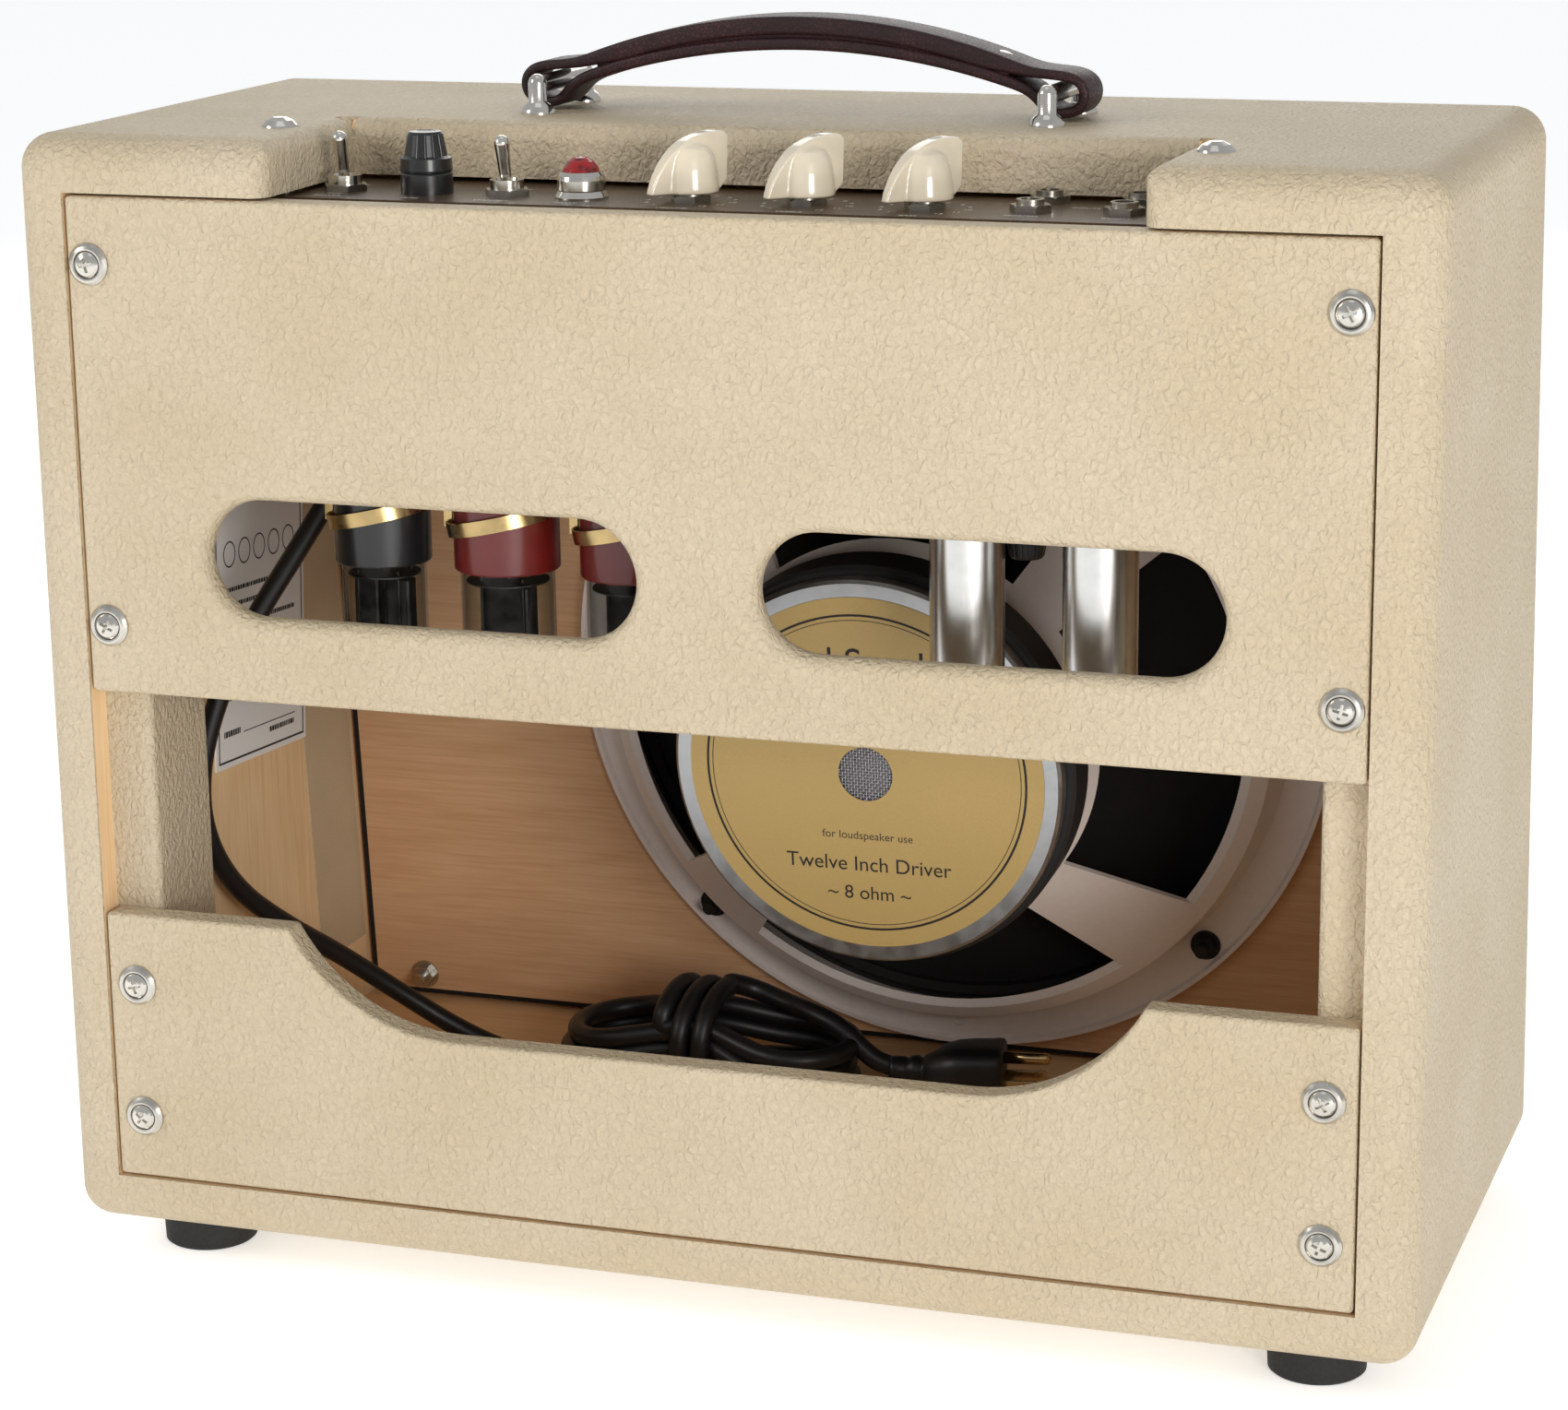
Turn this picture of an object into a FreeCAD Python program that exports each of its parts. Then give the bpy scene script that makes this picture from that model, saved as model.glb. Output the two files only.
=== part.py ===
import FreeCAD, Part
import math
import os

Vec = FreeCAD.Vector

# Frame: millimetres, +Z up, origin on the floor under the middle of the amplifier. The open back with
# its two panels faces +Y and the grille faces -Y. +X is the mains-lead side.

# Cabinet
cabinet_width = 510.0
cabinet_height = 409.0
depth_bottom = 256.0
depth_top = 220.0           # the front leans back, so the top is shallower
board = 19.0                # pine board
vinyl = 1.0                 # covering
edge_radius = 12.5
finger_width = 17.0         # box joint fingers
foot_height = 15.0
foot_radius = 18.0
foot_inset = 35.0           # foot centre from the back and from the front
foot_side_inset = 39.5
notch_width = 313.0         # opening in the top over the controls
notch_depth = 76.0
notch_round = 7.0

# Back panels
panel_thickness = 11.5
panel_gap = 1.0
panel_round = 1.6
upper_panel_height = 181.0
lower_panel_height = 103.5
vent_length = 163.0
vent_height = 43.0
vent_offset = 104.0
vent_rise = 52.0            # vent centre above the upper panel's lower edge
vent_round = 5.0
cutout_depth = 37.5
cutout_arc = 72.0
cutout_flat = 97.0          # half the flat bottom of the lower panel's cutout
screw_inset_upper = 8.5
screw_inset_lower = 11.5
screw_margin = 25.0
cleat_width = 18.0
cleat_depth = 45.0
screw_proud = 3.2
washer_radius = 7.75

# Baffle and grille
baffle_thickness = 12.7
baffle_recess = 12.4        # grille below the front edge of the cabinet
cloth_thickness = 0.8
front_cleat_width = 14.0
front_cleat_thickness = 9.5
baffle_gap = 2.0
strip_width = 42.0          # strips on the side walls
strip_thickness = 0.4
strip_rise = 27.0           # lower end above the cabinet's floor

# Speaker
speaker_x = -29.0
speaker_z = 195.0
flange_radius = 154.5
flange_inner = 139.0
gasket = 4.0
sheet = 1.6                 # pressed steel of the basket
basket_depth = 74.0
magnet_radius = 78.0
magnet_length = 20.0
plate_radius = 74.8
plate_length = 8.0
pole_radius = 21.0
coil_radius = 22.6
vent_hole_radius = 10.5

# Chassis
chassis_length = 366.0
chassis_height = 101.8
chassis_width = 78.0
chassis_wall = 1.6
chassis_back_gap = 2.5      # from the back panel to the chassis lip
chassis_drop = 3.2          # spacers between the top board and the chassis
faceplate_thickness = 1.6
row = 42.5                  # control row, from the cabinet's back face
jack_pitch_y = 25.0

# Controls: places along X
power_switch_x = 144.5
fuse_x = 113.0
standby_switch_x = 82.5
pilot_x = 54.5
knob_x = (14.0, -28.2, -70.4)
jack_x = (-107.5, -140.0)
ht_fuse_x = -99.0
ht_fuse_back = 15.0         # HT fuse holder's distance in front of the tube row
switch_throw = 24.0         # degrees from one stop to the other
knob_rest = 36.0            # pointer's angle from +Y towards +X at the low stop

# Tubes
tube_row = 55.0
rectifier_x = 141.0
power_tube_x = (92.0, 43.0)
preamp_x = (-81.6, -129.7)
tube_base_length = 27.0
tube_glass_length = 53.0
shield_radius = 13.2
shield_length = 60.0

# Handle
handle_y = 129.0            # handle's centre from the back face
handle_span = 96.0          # crossbar from the middle
eye_reach = 4.0             # how far each loop's eye runs outward past its crossbar
strap_width = 22.0
handle_rise = 35.4
strap_middle = 12.0
bar_radius = 3.3
bar_height = 10.4           # crossbar's centre above the top
loop_slack = 1.3
loop_clearance = 0.3        # left between the loop and its bar at each end of the lift
loop_radius = 8.4
post_spread = 23.0

# Mains lead
cord_diameter = 8.0
hank_length = 122.0
hank_half_width = 31.0
hank_height = 28.0
hank_y = 164.0              # hank's middle from the back face
hank_gap = 0.3              # above the cabinet's floor
wrap_height = 42.0
plug_gap = 12.0             # from the hank to the plug's neck
plug_rise = 12.4            # plug's axis above the hank's underside

wall = board + vinyl
floor_z = foot_height
top_z = foot_height + cabinet_height
inside_low = floor_z + wall
inside_high = top_z - wall
inside_half = cabinet_width / 2 - wall
lean = (depth_bottom - depth_top) / cabinet_height
lean_angle = math.degrees(math.atan(lean))
# The rounding of the bottom front edge takes this much off the depth.
nose_loss = edge_radius * (lean + 1 / math.cos(math.radians(lean_angle)) - 1)
back_y = (depth_bottom - nose_loss - screw_proud) / 2
panel_front_y = back_y - panel_thickness
panel_half = inside_half - panel_gap
upper_low = inside_high - upper_panel_height
lower_high = inside_low + lower_panel_height
vent_z = upper_low + vent_rise
faceplate_top = inside_high - chassis_drop + faceplate_thickness
chassis_top = faceplate_top - faceplate_thickness
chassis_low = chassis_top - chassis_height
chassis_back_y = panel_front_y - chassis_back_gap
chassis_web_y = chassis_back_y - chassis_width
row_y = back_y - row
tube_y = back_y - tube_row
baffle_back = baffle_thickness + baffle_recess

parts = {}


def add(name, *solids):
    flat = []
    for item in solids:
        flat.extend(item if isinstance(item, list) else [item])
    parts[name] = flat


def box(x0, x1, y0, y1, z0, z1):
    return Part.makeBox(x1 - x0, y1 - y0, z1 - z0, Vec(x0, y0, z0))


def rod(radius, start, end):
    line = Vec(*end) - Vec(*start)
    return Part.makeCylinder(radius, line.Length, Vec(*start), line)


def cone(r1, r2, start, end):
    line = Vec(*end) - Vec(*start)
    return Part.makeCone(r1, r2, line.Length, Vec(*start), line)


def lathe(profile):
    """Closed outline of (radius, height) points turned about +Z."""
    points = [Vec(r, 0, h) for r, h in profile]
    face = Part.Face(Part.makePolygon(points + [points[0]]))
    return face.revolve(Vec(0, 0, 0), Vec(0, 0, 1), 360)


def prism(outline, axis, low, high):
    """Closed outline extruded along 'x', 'y' or 'z' from low to high."""
    place = {"x": lambda a, b: Vec(low, a, b), "y": lambda a, b: Vec(a, low, b),
             "z": lambda a, b: Vec(a, b, low)}
    push = {"x": Vec(high - low, 0, 0), "y": Vec(0, high - low, 0), "z": Vec(0, 0, high - low)}
    points = [place[axis](a, b) for a, b in outline]
    return Part.Face(Part.makePolygon(points + [points[0]])).extrude(push[axis])


def fused(shapes):
    whole = shapes[0]
    if len(shapes) > 1:
        whole = shapes[0].multiFuse(shapes[1:])
    return whole.removeSplitter()


def moved(shape, x=0.0, y=0.0, z=0.0):
    copy = shape.copy()
    copy.translate(Vec(x, y, z))
    return copy


def turned(shape, angle, axis=(0, 0, 1), centre=(0, 0, 0)):
    copy = shape.copy()
    copy.rotate(Vec(*centre), Vec(*axis), angle)
    return copy


def hexagon(across_flats, thickness, hole, x, y, z):
    corner = across_flats / math.sqrt(3)
    outline = [(corner * math.cos(math.radians(60 * k)), corner * math.sin(math.radians(60 * k)))
               for k in range(6)]
    nut = prism(outline, "z", 0, thickness).cut(Part.makeCylinder(hole, thickness))
    chamfer = lathe([(0, -0.01), (corner + 0.4, -0.01), (corner + 0.4, thickness - 0.9),
                     (corner - 0.5, thickness), (0, thickness)])
    return moved(nut.common(chamfer), x, y, z)


def front_y(z):
    return back_y - depth_bottom + lean * (z - floor_z)


def wedge(inset, radius):
    """The cabinet's outer shape, inset evenly, with every edge rounded."""
    slant = inset / math.cos(math.radians(lean_angle))
    low, high = floor_z + inset, top_z - inset
    outline = [(back_y - inset, low), (back_y - inset, high), (front_y(high) + slant, high),
               (front_y(low) + slant, low)]
    body = prism(outline, "x", -cabinet_width / 2 + inset, cabinet_width / 2 - inset)
    return body.makeFillet(radius, body.Edges)


def notch_cutter(grow, round_over):
    """Space over the controls, with rounded-over edges where it meets the top and the back."""
    half = notch_width / 2 + grow
    deep = back_y - notch_depth - grow
    low = inside_high - 1
    high = top_z + 1
    cutter = [box(-half, half, deep, back_y + 1, low, high)]
    r = round_over
    for side in (-1, 1):
        x0, x1 = sorted((side * half, side * (half + r)))
        over = box(x0, x1, deep - r, back_y + 1, top_z - r, high)
        over = over.cut(rod(r, (side * (half + r), deep - r - 1, top_z - r),
                            (side * (half + r), back_y + 1, top_z - r)))
        cutter.append(over)
        end = box(x0, x1, back_y - r, back_y + 1, low, high)
        end = end.cut(rod(r, (side * (half + r), back_y - r, low), (side * (half + r), back_y - r, high)))
        cutter.append(end)
    over = box(-half - r, half + r, deep - r, deep, top_z - r, high)
    over = over.cut(rod(r, (-half - r, deep - r, top_z - r), (half + r, deep - r, top_z - r)))
    cutter.append(over)
    return fused(cutter)


def cabinet():
    cavity = box(-inside_half, inside_half, -depth_bottom, depth_bottom, inside_low, inside_high)
    wood = wedge(vinyl, edge_radius - vinyl).cut(cavity).cut(notch_cutter(vinyl, notch_round - vinyl))
    skin = wedge(0, edge_radius).cut(notch_cutter(0, notch_round))
    bolts = [rod(3.3, (x, bolt_y, inside_high - 5), (x, bolt_y, top_z + 5)) for x in bolt_places]
    wood = wood.cut(fused(bolts))
    skin = skin.cut(fused(bolts)).cut(cavity).cut(wood)
    even, odd = [], []
    y = back_y + 1
    count = 0
    while y > back_y - depth_bottom - finger_width:
        group = even if count % 2 == 0 else odd
        for side in (-1, 1):
            x0, x1 = sorted((side * inside_half, side * cabinet_width / 2))
            group.append(box(x0, x1, y - finger_width, y, inside_high, top_z))
            group.append(box(x0, x1, y - finger_width, y, floor_z, inside_low))
        y -= finger_width
        count += 1
    even, odd = Part.makeCompound(even), Part.makeCompound(odd)
    far = cabinet_width
    sides = wood.common(box(inside_half, far, -far, far, 0, far)).cut(even)
    other = wood.common(box(-far, -inside_half, -far, far, 0, far)).cut(even)
    top = wood.common(box(-far, far, -far, far, inside_high, far)).cut(odd)
    bottom = wood.common(box(-far, far, -far, far, 0, inside_low)).cut(odd)
    for x, y in foot_places():
        bottom = bottom.cut(rod(foot_screw_radius + 0.05, (x, y, floor_z), (x, y, floor_z + foot_screw_bite)))
        skin = skin.cut(rod(foot_screw_radius + 0.5, (x, y, floor_z - 1), (x, y, floor_z + vinyl)))
    for x, y in post_places():
        top = top.cut(rod(bracket_screw_radius + 0.3, (x, y, inside_high - 1), (x, y, top_z + 1)))
        skin = skin.cut(rod(bracket_screw_radius + 0.3, (x, y, top_z - vinyl - 1), (x, y, top_z + 1)))
    add("side_boards", sides.Solids, other.Solids)
    add("top_board", top)
    add("bottom_board", bottom)
    add("vinyl_covering", skin)


bolt_places = (-170.4, 170.4)
bolt_y = back_y - 45.0
foot_screw_radius = 2.2
foot_screw_bite = 16.0
bracket_screw_radius = 2.4


def foot_places():
    x = cabinet_width / 2 - foot_side_inset
    near = back_y - foot_inset
    far = back_y - depth_bottom + foot_inset
    return [(side * x, y) for side in (-1, 1) for y in (near, far)]


def post_places():
    y = back_y - handle_y
    return [(side * handle_span, y + end * post_spread) for side in (-1, 1) for end in (-1, 1)]


def feet():
    recess_radius = 6.5
    recess_depth = 8.0
    hole = foot_screw_radius + 0.3
    body = lathe([(hole, recess_depth), (recess_radius, recess_depth), (recess_radius, 0),
                  (foot_radius - 1.6, 0), (foot_radius - 0.6, 0.9), (foot_radius, foot_height - 1.2),
                  (foot_radius - 0.8, foot_height), (hole, foot_height)])
    screw = fused([lathe([(0, 4.6), (2.6, 4.9), (4.6, 6.2), (4.9, recess_depth), (0, recess_depth)]),
                   Part.makeCylinder(foot_screw_radius, foot_height - recess_depth + foot_screw_bite - 0.5,
                                     Vec(0, 0, recess_depth))])
    screw = screw.cut(cross_recess(3.4, 1.2, 4.4, 1.6))
    add("rubber_feet", [moved(body, x, y) for x, y in foot_places()])
    add("foot_screws", [moved(screw, x, y) for x, y in foot_places()])


def cross_recess(length, width, z, depth):
    return fused([box(-length, length, -width / 2, width / 2, z, z + depth),
                  box(-width / 2, width / 2, -length, length, z, z + depth)])


def panel_screw_places():
    upper = panel_half - screw_inset_upper
    lower = panel_half - screw_inset_lower
    places = []
    for side in (-1, 1):
        places.append((side * upper, inside_high - screw_margin))
        places.append((side * upper, upper_low + screw_margin))
        places.append((side * lower, lower_high - screw_margin - 2))
        places.append((side * lower, inside_low + screw_margin))
    return places


def back_panels():
    y0, y1 = panel_front_y, back_y
    upper = box(-panel_half, panel_half, y0, y1, upper_low, inside_high - panel_gap)
    upper = upper.makeFillet(panel_round, upper.Edges)
    r = vent_height / 2
    straight = vent_length / 2 - r
    for side in (-1, 1):
        x = side * vent_offset
        hole = box(x - straight, x + straight, y0 - 1, y1 + 1, vent_z - r, vent_z + r)
        ends = [rod(r, (x + e * straight, y0 - 1, vent_z), (x + e * straight, y1 + 1, vent_z))
                for e in (-1, 1)]
        upper = upper.cut(fused([hole] + ends))
    rims = [e for e in upper.Edges
            if abs(e.CenterOfMass.z - vent_z) < r + 1 and abs(e.CenterOfMass.x) < vent_offset + vent_length / 2
            and e.BoundBox.YLength < 0.01]
    upper = upper.makeFillet(vent_round, rims)
    low = inside_low + panel_gap
    rise = lower_high - cutout_depth
    reach = math.sqrt(cutout_arc ** 2 - (cutout_arc - cutout_depth) ** 2)
    lower = box(-panel_half, panel_half, y0, y1, low, lower_high)
    lower = lower.makeFillet(panel_round, lower.Edges)
    mid = math.sin(math.asin(reach / cutout_arc) / 2) * cutout_arc
    mid_rise = cutout_arc - math.sqrt(cutout_arc ** 2 - mid ** 2)
    far = cutout_flat + reach

    def at(x, z):
        return Vec(x, y0 - 1, z)

    edges = [Part.LineSegment(at(-cutout_flat, rise), at(cutout_flat, rise)).toShape(),
             Part.Arc(at(cutout_flat, rise), at(cutout_flat + mid, rise + mid_rise),
                      at(far, lower_high)).toShape(),
             Part.LineSegment(at(far, lower_high), at(far, lower_high + 5)).toShape(),
             Part.LineSegment(at(far, lower_high + 5), at(-far, lower_high + 5)).toShape(),
             Part.LineSegment(at(-far, lower_high + 5), at(-far, lower_high)).toShape(),
             Part.Arc(at(-far, lower_high), at(-cutout_flat - mid, rise + mid_rise),
                      at(-cutout_flat, rise)).toShape()]
    gap = Part.Face(Part.Wire(edges)).extrude(Vec(0, panel_thickness + 2, 0))
    lower = lower.cut(gap)
    rims = [e for e in lower.Edges if e.BoundBox.YLength < 0.01 and abs(e.CenterOfMass.x) < far
            and rise - 0.1 < e.CenterOfMass.z < lower_high - 3]
    lower = lower.makeFillet(panel_round, rims)
    cleats = []
    for side in (-1, 1):
        x0, x1 = sorted((side * inside_half, side * (inside_half - cleat_width)))
        cleat = box(x0, x1, y0 - cleat_depth, y0, inside_low, inside_high)
        inner = side * (inside_half - cleat_width)
        edge = [e for e in cleat.Edges if abs(e.CenterOfMass.x - inner) < 0.1 and e.BoundBox.ZLength > 100]
        cleats.append(cleat.makeFillet(3.0, edge))
    screw = fused([lathe([(0, 0), (2.1, 0), (4.4, 1.3), (4.6, 1.7), (3.9, 2.5), (2.4, 3.0),
                          (1.4, screw_proud),
                           (0, screw_proud)]), Part.makeCylinder(2.1, 31, Vec(0, 0, -31))])
    screw = screw.cut(cross_recess(2.7, 1.1, 1.5, 3))
    washer = lathe([(2.4, 0), (washer_radius, 0), (washer_radius - 0.2, 0.7), (washer_radius - 1.2, 1.7),
                    (washer_radius - 2.1, 2.0), (5.1, 1.9), (4.85, 1.4)])
    screws, washers = [], []
    for x, z in panel_screw_places():
        seat = (x, back_y, z)
        hole = rod(2.4, (x, y0 - 1, z), (x, back_y + 1, z))
        upper, lower = upper.cut(hole), lower.cut(hole)
        cleats = [c.cut(rod(2.15, (x, y0 - 22, z), (x, y0 + 1, z))) for c in cleats]
        aim = turned(screw, -90, (1, 0, 0))
        screws.append(moved(turned(aim, 37 * x / 100 + z, (0, 1, 0)), *seat))
        washers.append(moved(turned(washer, -90, (1, 0, 0)), *seat))
    add("upper_back_panel", upper)
    add("lower_back_panel", lower)
    add("cleats", cleats, front_cleats())
    add("back_panel_screws", screws)
    add("cup_washers", washers)


def tilt(shape):
    """From the baffle's own frame (rear face at y = 0, speaker centre on the axis) to the leaning front."""
    copy = turned(shape, -lean_angle, (1, 0, 0))
    centre_y = front_y(speaker_z) + baffle_back / math.cos(math.radians(lean_angle))
    return moved(copy, speaker_x, centre_y, speaker_z)


def baffle():
    c = math.cos(math.radians(lean_angle))
    low = (inside_low - speaker_z) / c
    high = (inside_high - speaker_z) / c
    left = -inside_half - speaker_x
    right = inside_half - speaker_x
    over = 8.0
    slab = tilt(box(left + baffle_gap, right - baffle_gap, -baffle_thickness, 0, low - over, high + over))
    room = box(-inside_half, inside_half, -depth_bottom, 0, inside_low + baffle_gap, inside_high - baffle_gap)
    slab = slab.common(room).cut(tilt(rod(flange_inner, (0, -40, 0), (0, 40, 0))))
    cloth = tilt(box(left + baffle_gap, right - baffle_gap, -baffle_thickness - cloth_thickness,
                     -baffle_thickness, low - over, high + over)).common(room)
    bolts = []
    for x, z in baffle_bolt_places():
        slab = slab.cut(tilt(rod(2.55, (x, -20, z), (x, 20, z))))
        bolts.append(tilt(bolt_with_washer(x, z, -baffle_thickness + 3, 0.0)))
    for x, z in speaker_bolt_places():
        slab = slab.cut(tilt(rod(2.55, (x, -20, z), (x, 20, z))))
        bolts.append(tilt(bolt_with_washer(x, z, -baffle_thickness + 3, gasket + sheet)))
    add("baffle_board", slab)
    add("grille_cloth", cloth)
    add("side_strips", [side_strip(1), side_strip(-1)])
    add("baffle_bolts", bolts)


def front_cleats():
    """Four battens in front of the grille, which the baffle is bolted to."""
    rear = -baffle_thickness - cloth_thickness
    far = depth_bottom
    layer = tilt(box(-far, far + far, rear - front_cleat_thickness, rear, -far, far))
    inner = inside_half - front_cleat_width
    low = inside_low + front_cleat_width
    high = inside_high - front_cleat_width
    return [layer.common(box(inner, inside_half, -far, 0, inside_low, inside_high)),
            layer.common(box(-inside_half, -inner, -far, 0, inside_low, inside_high)),
            layer.common(box(-inner, inner, -far, 0, inside_low, low)),
            layer.common(box(-inner, inner, -far, 0, high, inside_high))]


def side_strip(side):
    """Thin strip up the side wall, just behind the baffle and leaning with it."""
    far = cabinet_height
    layer = tilt(box(-far, far, baffle_gap, baffle_gap + strip_width, -far, far))
    x0, x1 = sorted((side * inside_half, side * (inside_half - strip_thickness)))
    return layer.common(box(x0, x1, -far, far, inside_low + strip_rise, chassis_low))


def bolt_with_washer(x, z, start, seat):
    shank = rod(2.5, (x, start, z), (x, seat + 9, z))
    washer = rod(6.0, (x, seat, z), (x, seat + 1.0, z))
    nut = turned(hexagon(8.0, 3.6, 2.5, 0, 0, 0), -90, (1, 0, 0))
    return fused([shank, washer, moved(nut, x, seat + 1.0, z)])


def baffle_bolt_places():
    x = inside_half - 26.0
    return [(side * x - speaker_x, z - speaker_z) for side in (-1, 1)
            for z in (inside_low + 10, inside_high - 16)]


def speaker_bolt_places():
    return flange_holes(45, 4)


def flange_holes(first, count):
    pitch_radius = (flange_radius + flange_inner) / 2 - 1.5
    angles = [math.radians(first + 360 / count * k) for k in range(count)]
    return [(pitch_radius * math.cos(a), pitch_radius * math.sin(a)) for a in angles]


def backward(shape):
    """Turn a shape made about +Z so that it points back along +Y in the baffle's frame."""
    return turned(shape, -90, (1, 0, 0))


def speaker():
    seat = gasket
    bottom = seat + sheet + basket_depth
    cap_radius = 66.0
    window_low = seat + 27
    window_high = bottom - 7
    basket = lathe([(flange_inner - 2, seat), (flange_radius, seat), (flange_radius, seat + sheet + 2),
                    (flange_radius - sheet, seat + sheet + 2), (flange_radius - sheet - 1, seat + sheet),
                    (flange_inner - 1, seat + sheet), (flange_inner - 4.5, seat + 22),
                    (cap_radius + 4, bottom), (pole_radius + 8, bottom), (pole_radius + 8, bottom - sheet),
                    (cap_radius + 2, bottom - sheet), (flange_inner - 7, seat + 21)])
    windows = []
    for k in range(4):
        mid = 90 * k
        half = 36.0
        edge = [(20 * math.cos(math.radians(mid - half * s)), 20 * math.sin(math.radians(mid - half * s)))
                for s in (-1, 1)]
        far = [(220 * math.cos(math.radians(mid + half * s)), 220 * math.sin(math.radians(mid + half * s)))
               for s in (-1, 0, 1)]
        sector = prism([edge[1], far[0], far[1], far[2], edge[0]], "z", window_low, window_high)
        windows.append(sector)
    basket = basket.cut(fused(windows))
    frame = []      # rim, four arms between the windows, and the cup behind
    for low, high in ((seat, window_low), (window_low, window_high), (window_high, bottom)):
        zone = basket.common(box(-flange_radius, flange_radius, -flange_radius, flange_radius, low, high))
        frame += [backward(part) for part in zone.Solids]
    for x, z in flange_holes(0, 8):
        frame = [part.cut(rod(2.6, (x, 0, z), (x, 30, z))) for part in frame]
    ring = backward(lathe([(flange_inner, 0), (flange_radius - 2, 0), (flange_radius - 2, gasket),
                           (flange_inner, gasket)]))
    for x, z in speaker_bolt_places():
        ring = ring.cut(rod(2.55, (x, -1, z), (x, 30, z)))
    front_plate = lathe([(coil_radius + 1.2, bottom), (70, bottom), (70, bottom + 7),
                         (coil_radius + 1.2, bottom + 7)])
    magnet_low = bottom + 7
    magnet_high = magnet_low + magnet_length
    magnet = lathe([(36, magnet_low), (magnet_radius - 1.5, magnet_low), (magnet_radius, magnet_low + 1.5),
                    (magnet_radius, magnet_high - 1.5), (magnet_radius - 1.5, magnet_high),
                    (36, magnet_high)])
    plate = lathe([(vent_hole_radius, bottom + 1), (pole_radius, bottom + 1), (pole_radius, magnet_high),
                   (plate_radius - 1.2, magnet_high), (plate_radius, magnet_high + 1.2),
                   (plate_radius, magnet_high + plate_length - 1.2),
                   (plate_radius - 1.2, magnet_high + plate_length),
                   (vent_hole_radius, magnet_high + plate_length)])
    label_low = magnet_high + plate_length
    label = lathe([(vent_hole_radius, label_low), (68.5, label_low), (68.5, label_low + 0.25),
                   (vent_hole_radius, label_low + 0.25)])
    neck = bottom - 14
    edge = 128.0
    paper = lathe([(coil_radius + 0.3, neck), (coil_radius + 1.3, neck - 3), (edge, seat + 2),
                   (edge, seat + 0.8), (edge - 1, seat + 0.8), (coil_radius - 0.2, neck - 5.4),
                   (coil_radius - 0.6, neck - 5.4), (coil_radius - 0.6, bottom + 9),
                   (coil_radius + 0.3, bottom + 9)])
    cap_edge = 36.0
    rim = neck - 5.4 - (neck - 6.2 - seat) * (cap_edge - coil_radius) / (edge - coil_radius) - 0.3
    dome = lathe([(0, rim - 14.2), (12, rim - 12.6), (26, rim - 6.6), (cap_edge, rim), (cap_edge, rim - 1.2),
                  (26, rim - 7.8), (12, rim - 13.8), (0, rim - 15.4)])
    edge_ring = lathe([(edge + 0.4, seat + 0.9), (edge + 2.5, seat - 1.4), (edge + 5, seat + 1.6),
                       (edge + 7.6, seat - 1.4), (flange_inner - 2.4, seat + 0.2),
                       (flange_inner - 2.4, seat + 1.0), (edge + 7.6, seat - 0.5), (edge + 5, seat + 2.5),
                       (edge + 2.5, seat - 0.5), (edge + 0.4, seat + 1.9)])
    spider = lathe([(coil_radius + 0.7, neck + 3), (36, neck + 5), (44, neck + 2), (52, neck + 5),
                    (60, neck + 2.6), (60, neck + 3.4), (52, neck + 5.8), (44, neck + 2.8), (36, neck + 5.8),
                    (coil_radius + 0.7, neck + 3.8)])
    seat_ring = lathe([(60.4, neck + 1.6), (62.4, neck + 1.6), (62.4, bottom - sheet),
                       (60.4, bottom - sheet)])
    add("speaker_basket", [tilt(part) for part in frame], tilt(ring), tilt(backward(seat_ring)))
    add("speaker_magnet", tilt(backward(magnet)), tilt(backward(front_plate)))
    add("speaker_back_plate", tilt(backward(plate)))
    add("magnet_label", tilt(backward(label)))
    add("speaker_cone", tilt(backward(paper)), tilt(backward(dome)))
    add("speaker_suspension", tilt(backward(edge_ring)), tilt(backward(spider)))


def panel_hole(x, y, radius):
    return rod(radius, (x, y, chassis_top - 5), (x, y, faceplate_top + 5))


def flange_hole(x, y, radius):
    return rod(radius, (x, y, chassis_low - 5), (x, y, chassis_low + 5))


def jack_places():
    return [(x, row_y - k * jack_pitch_y) for x in jack_x for k in (0, 1)]


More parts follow.
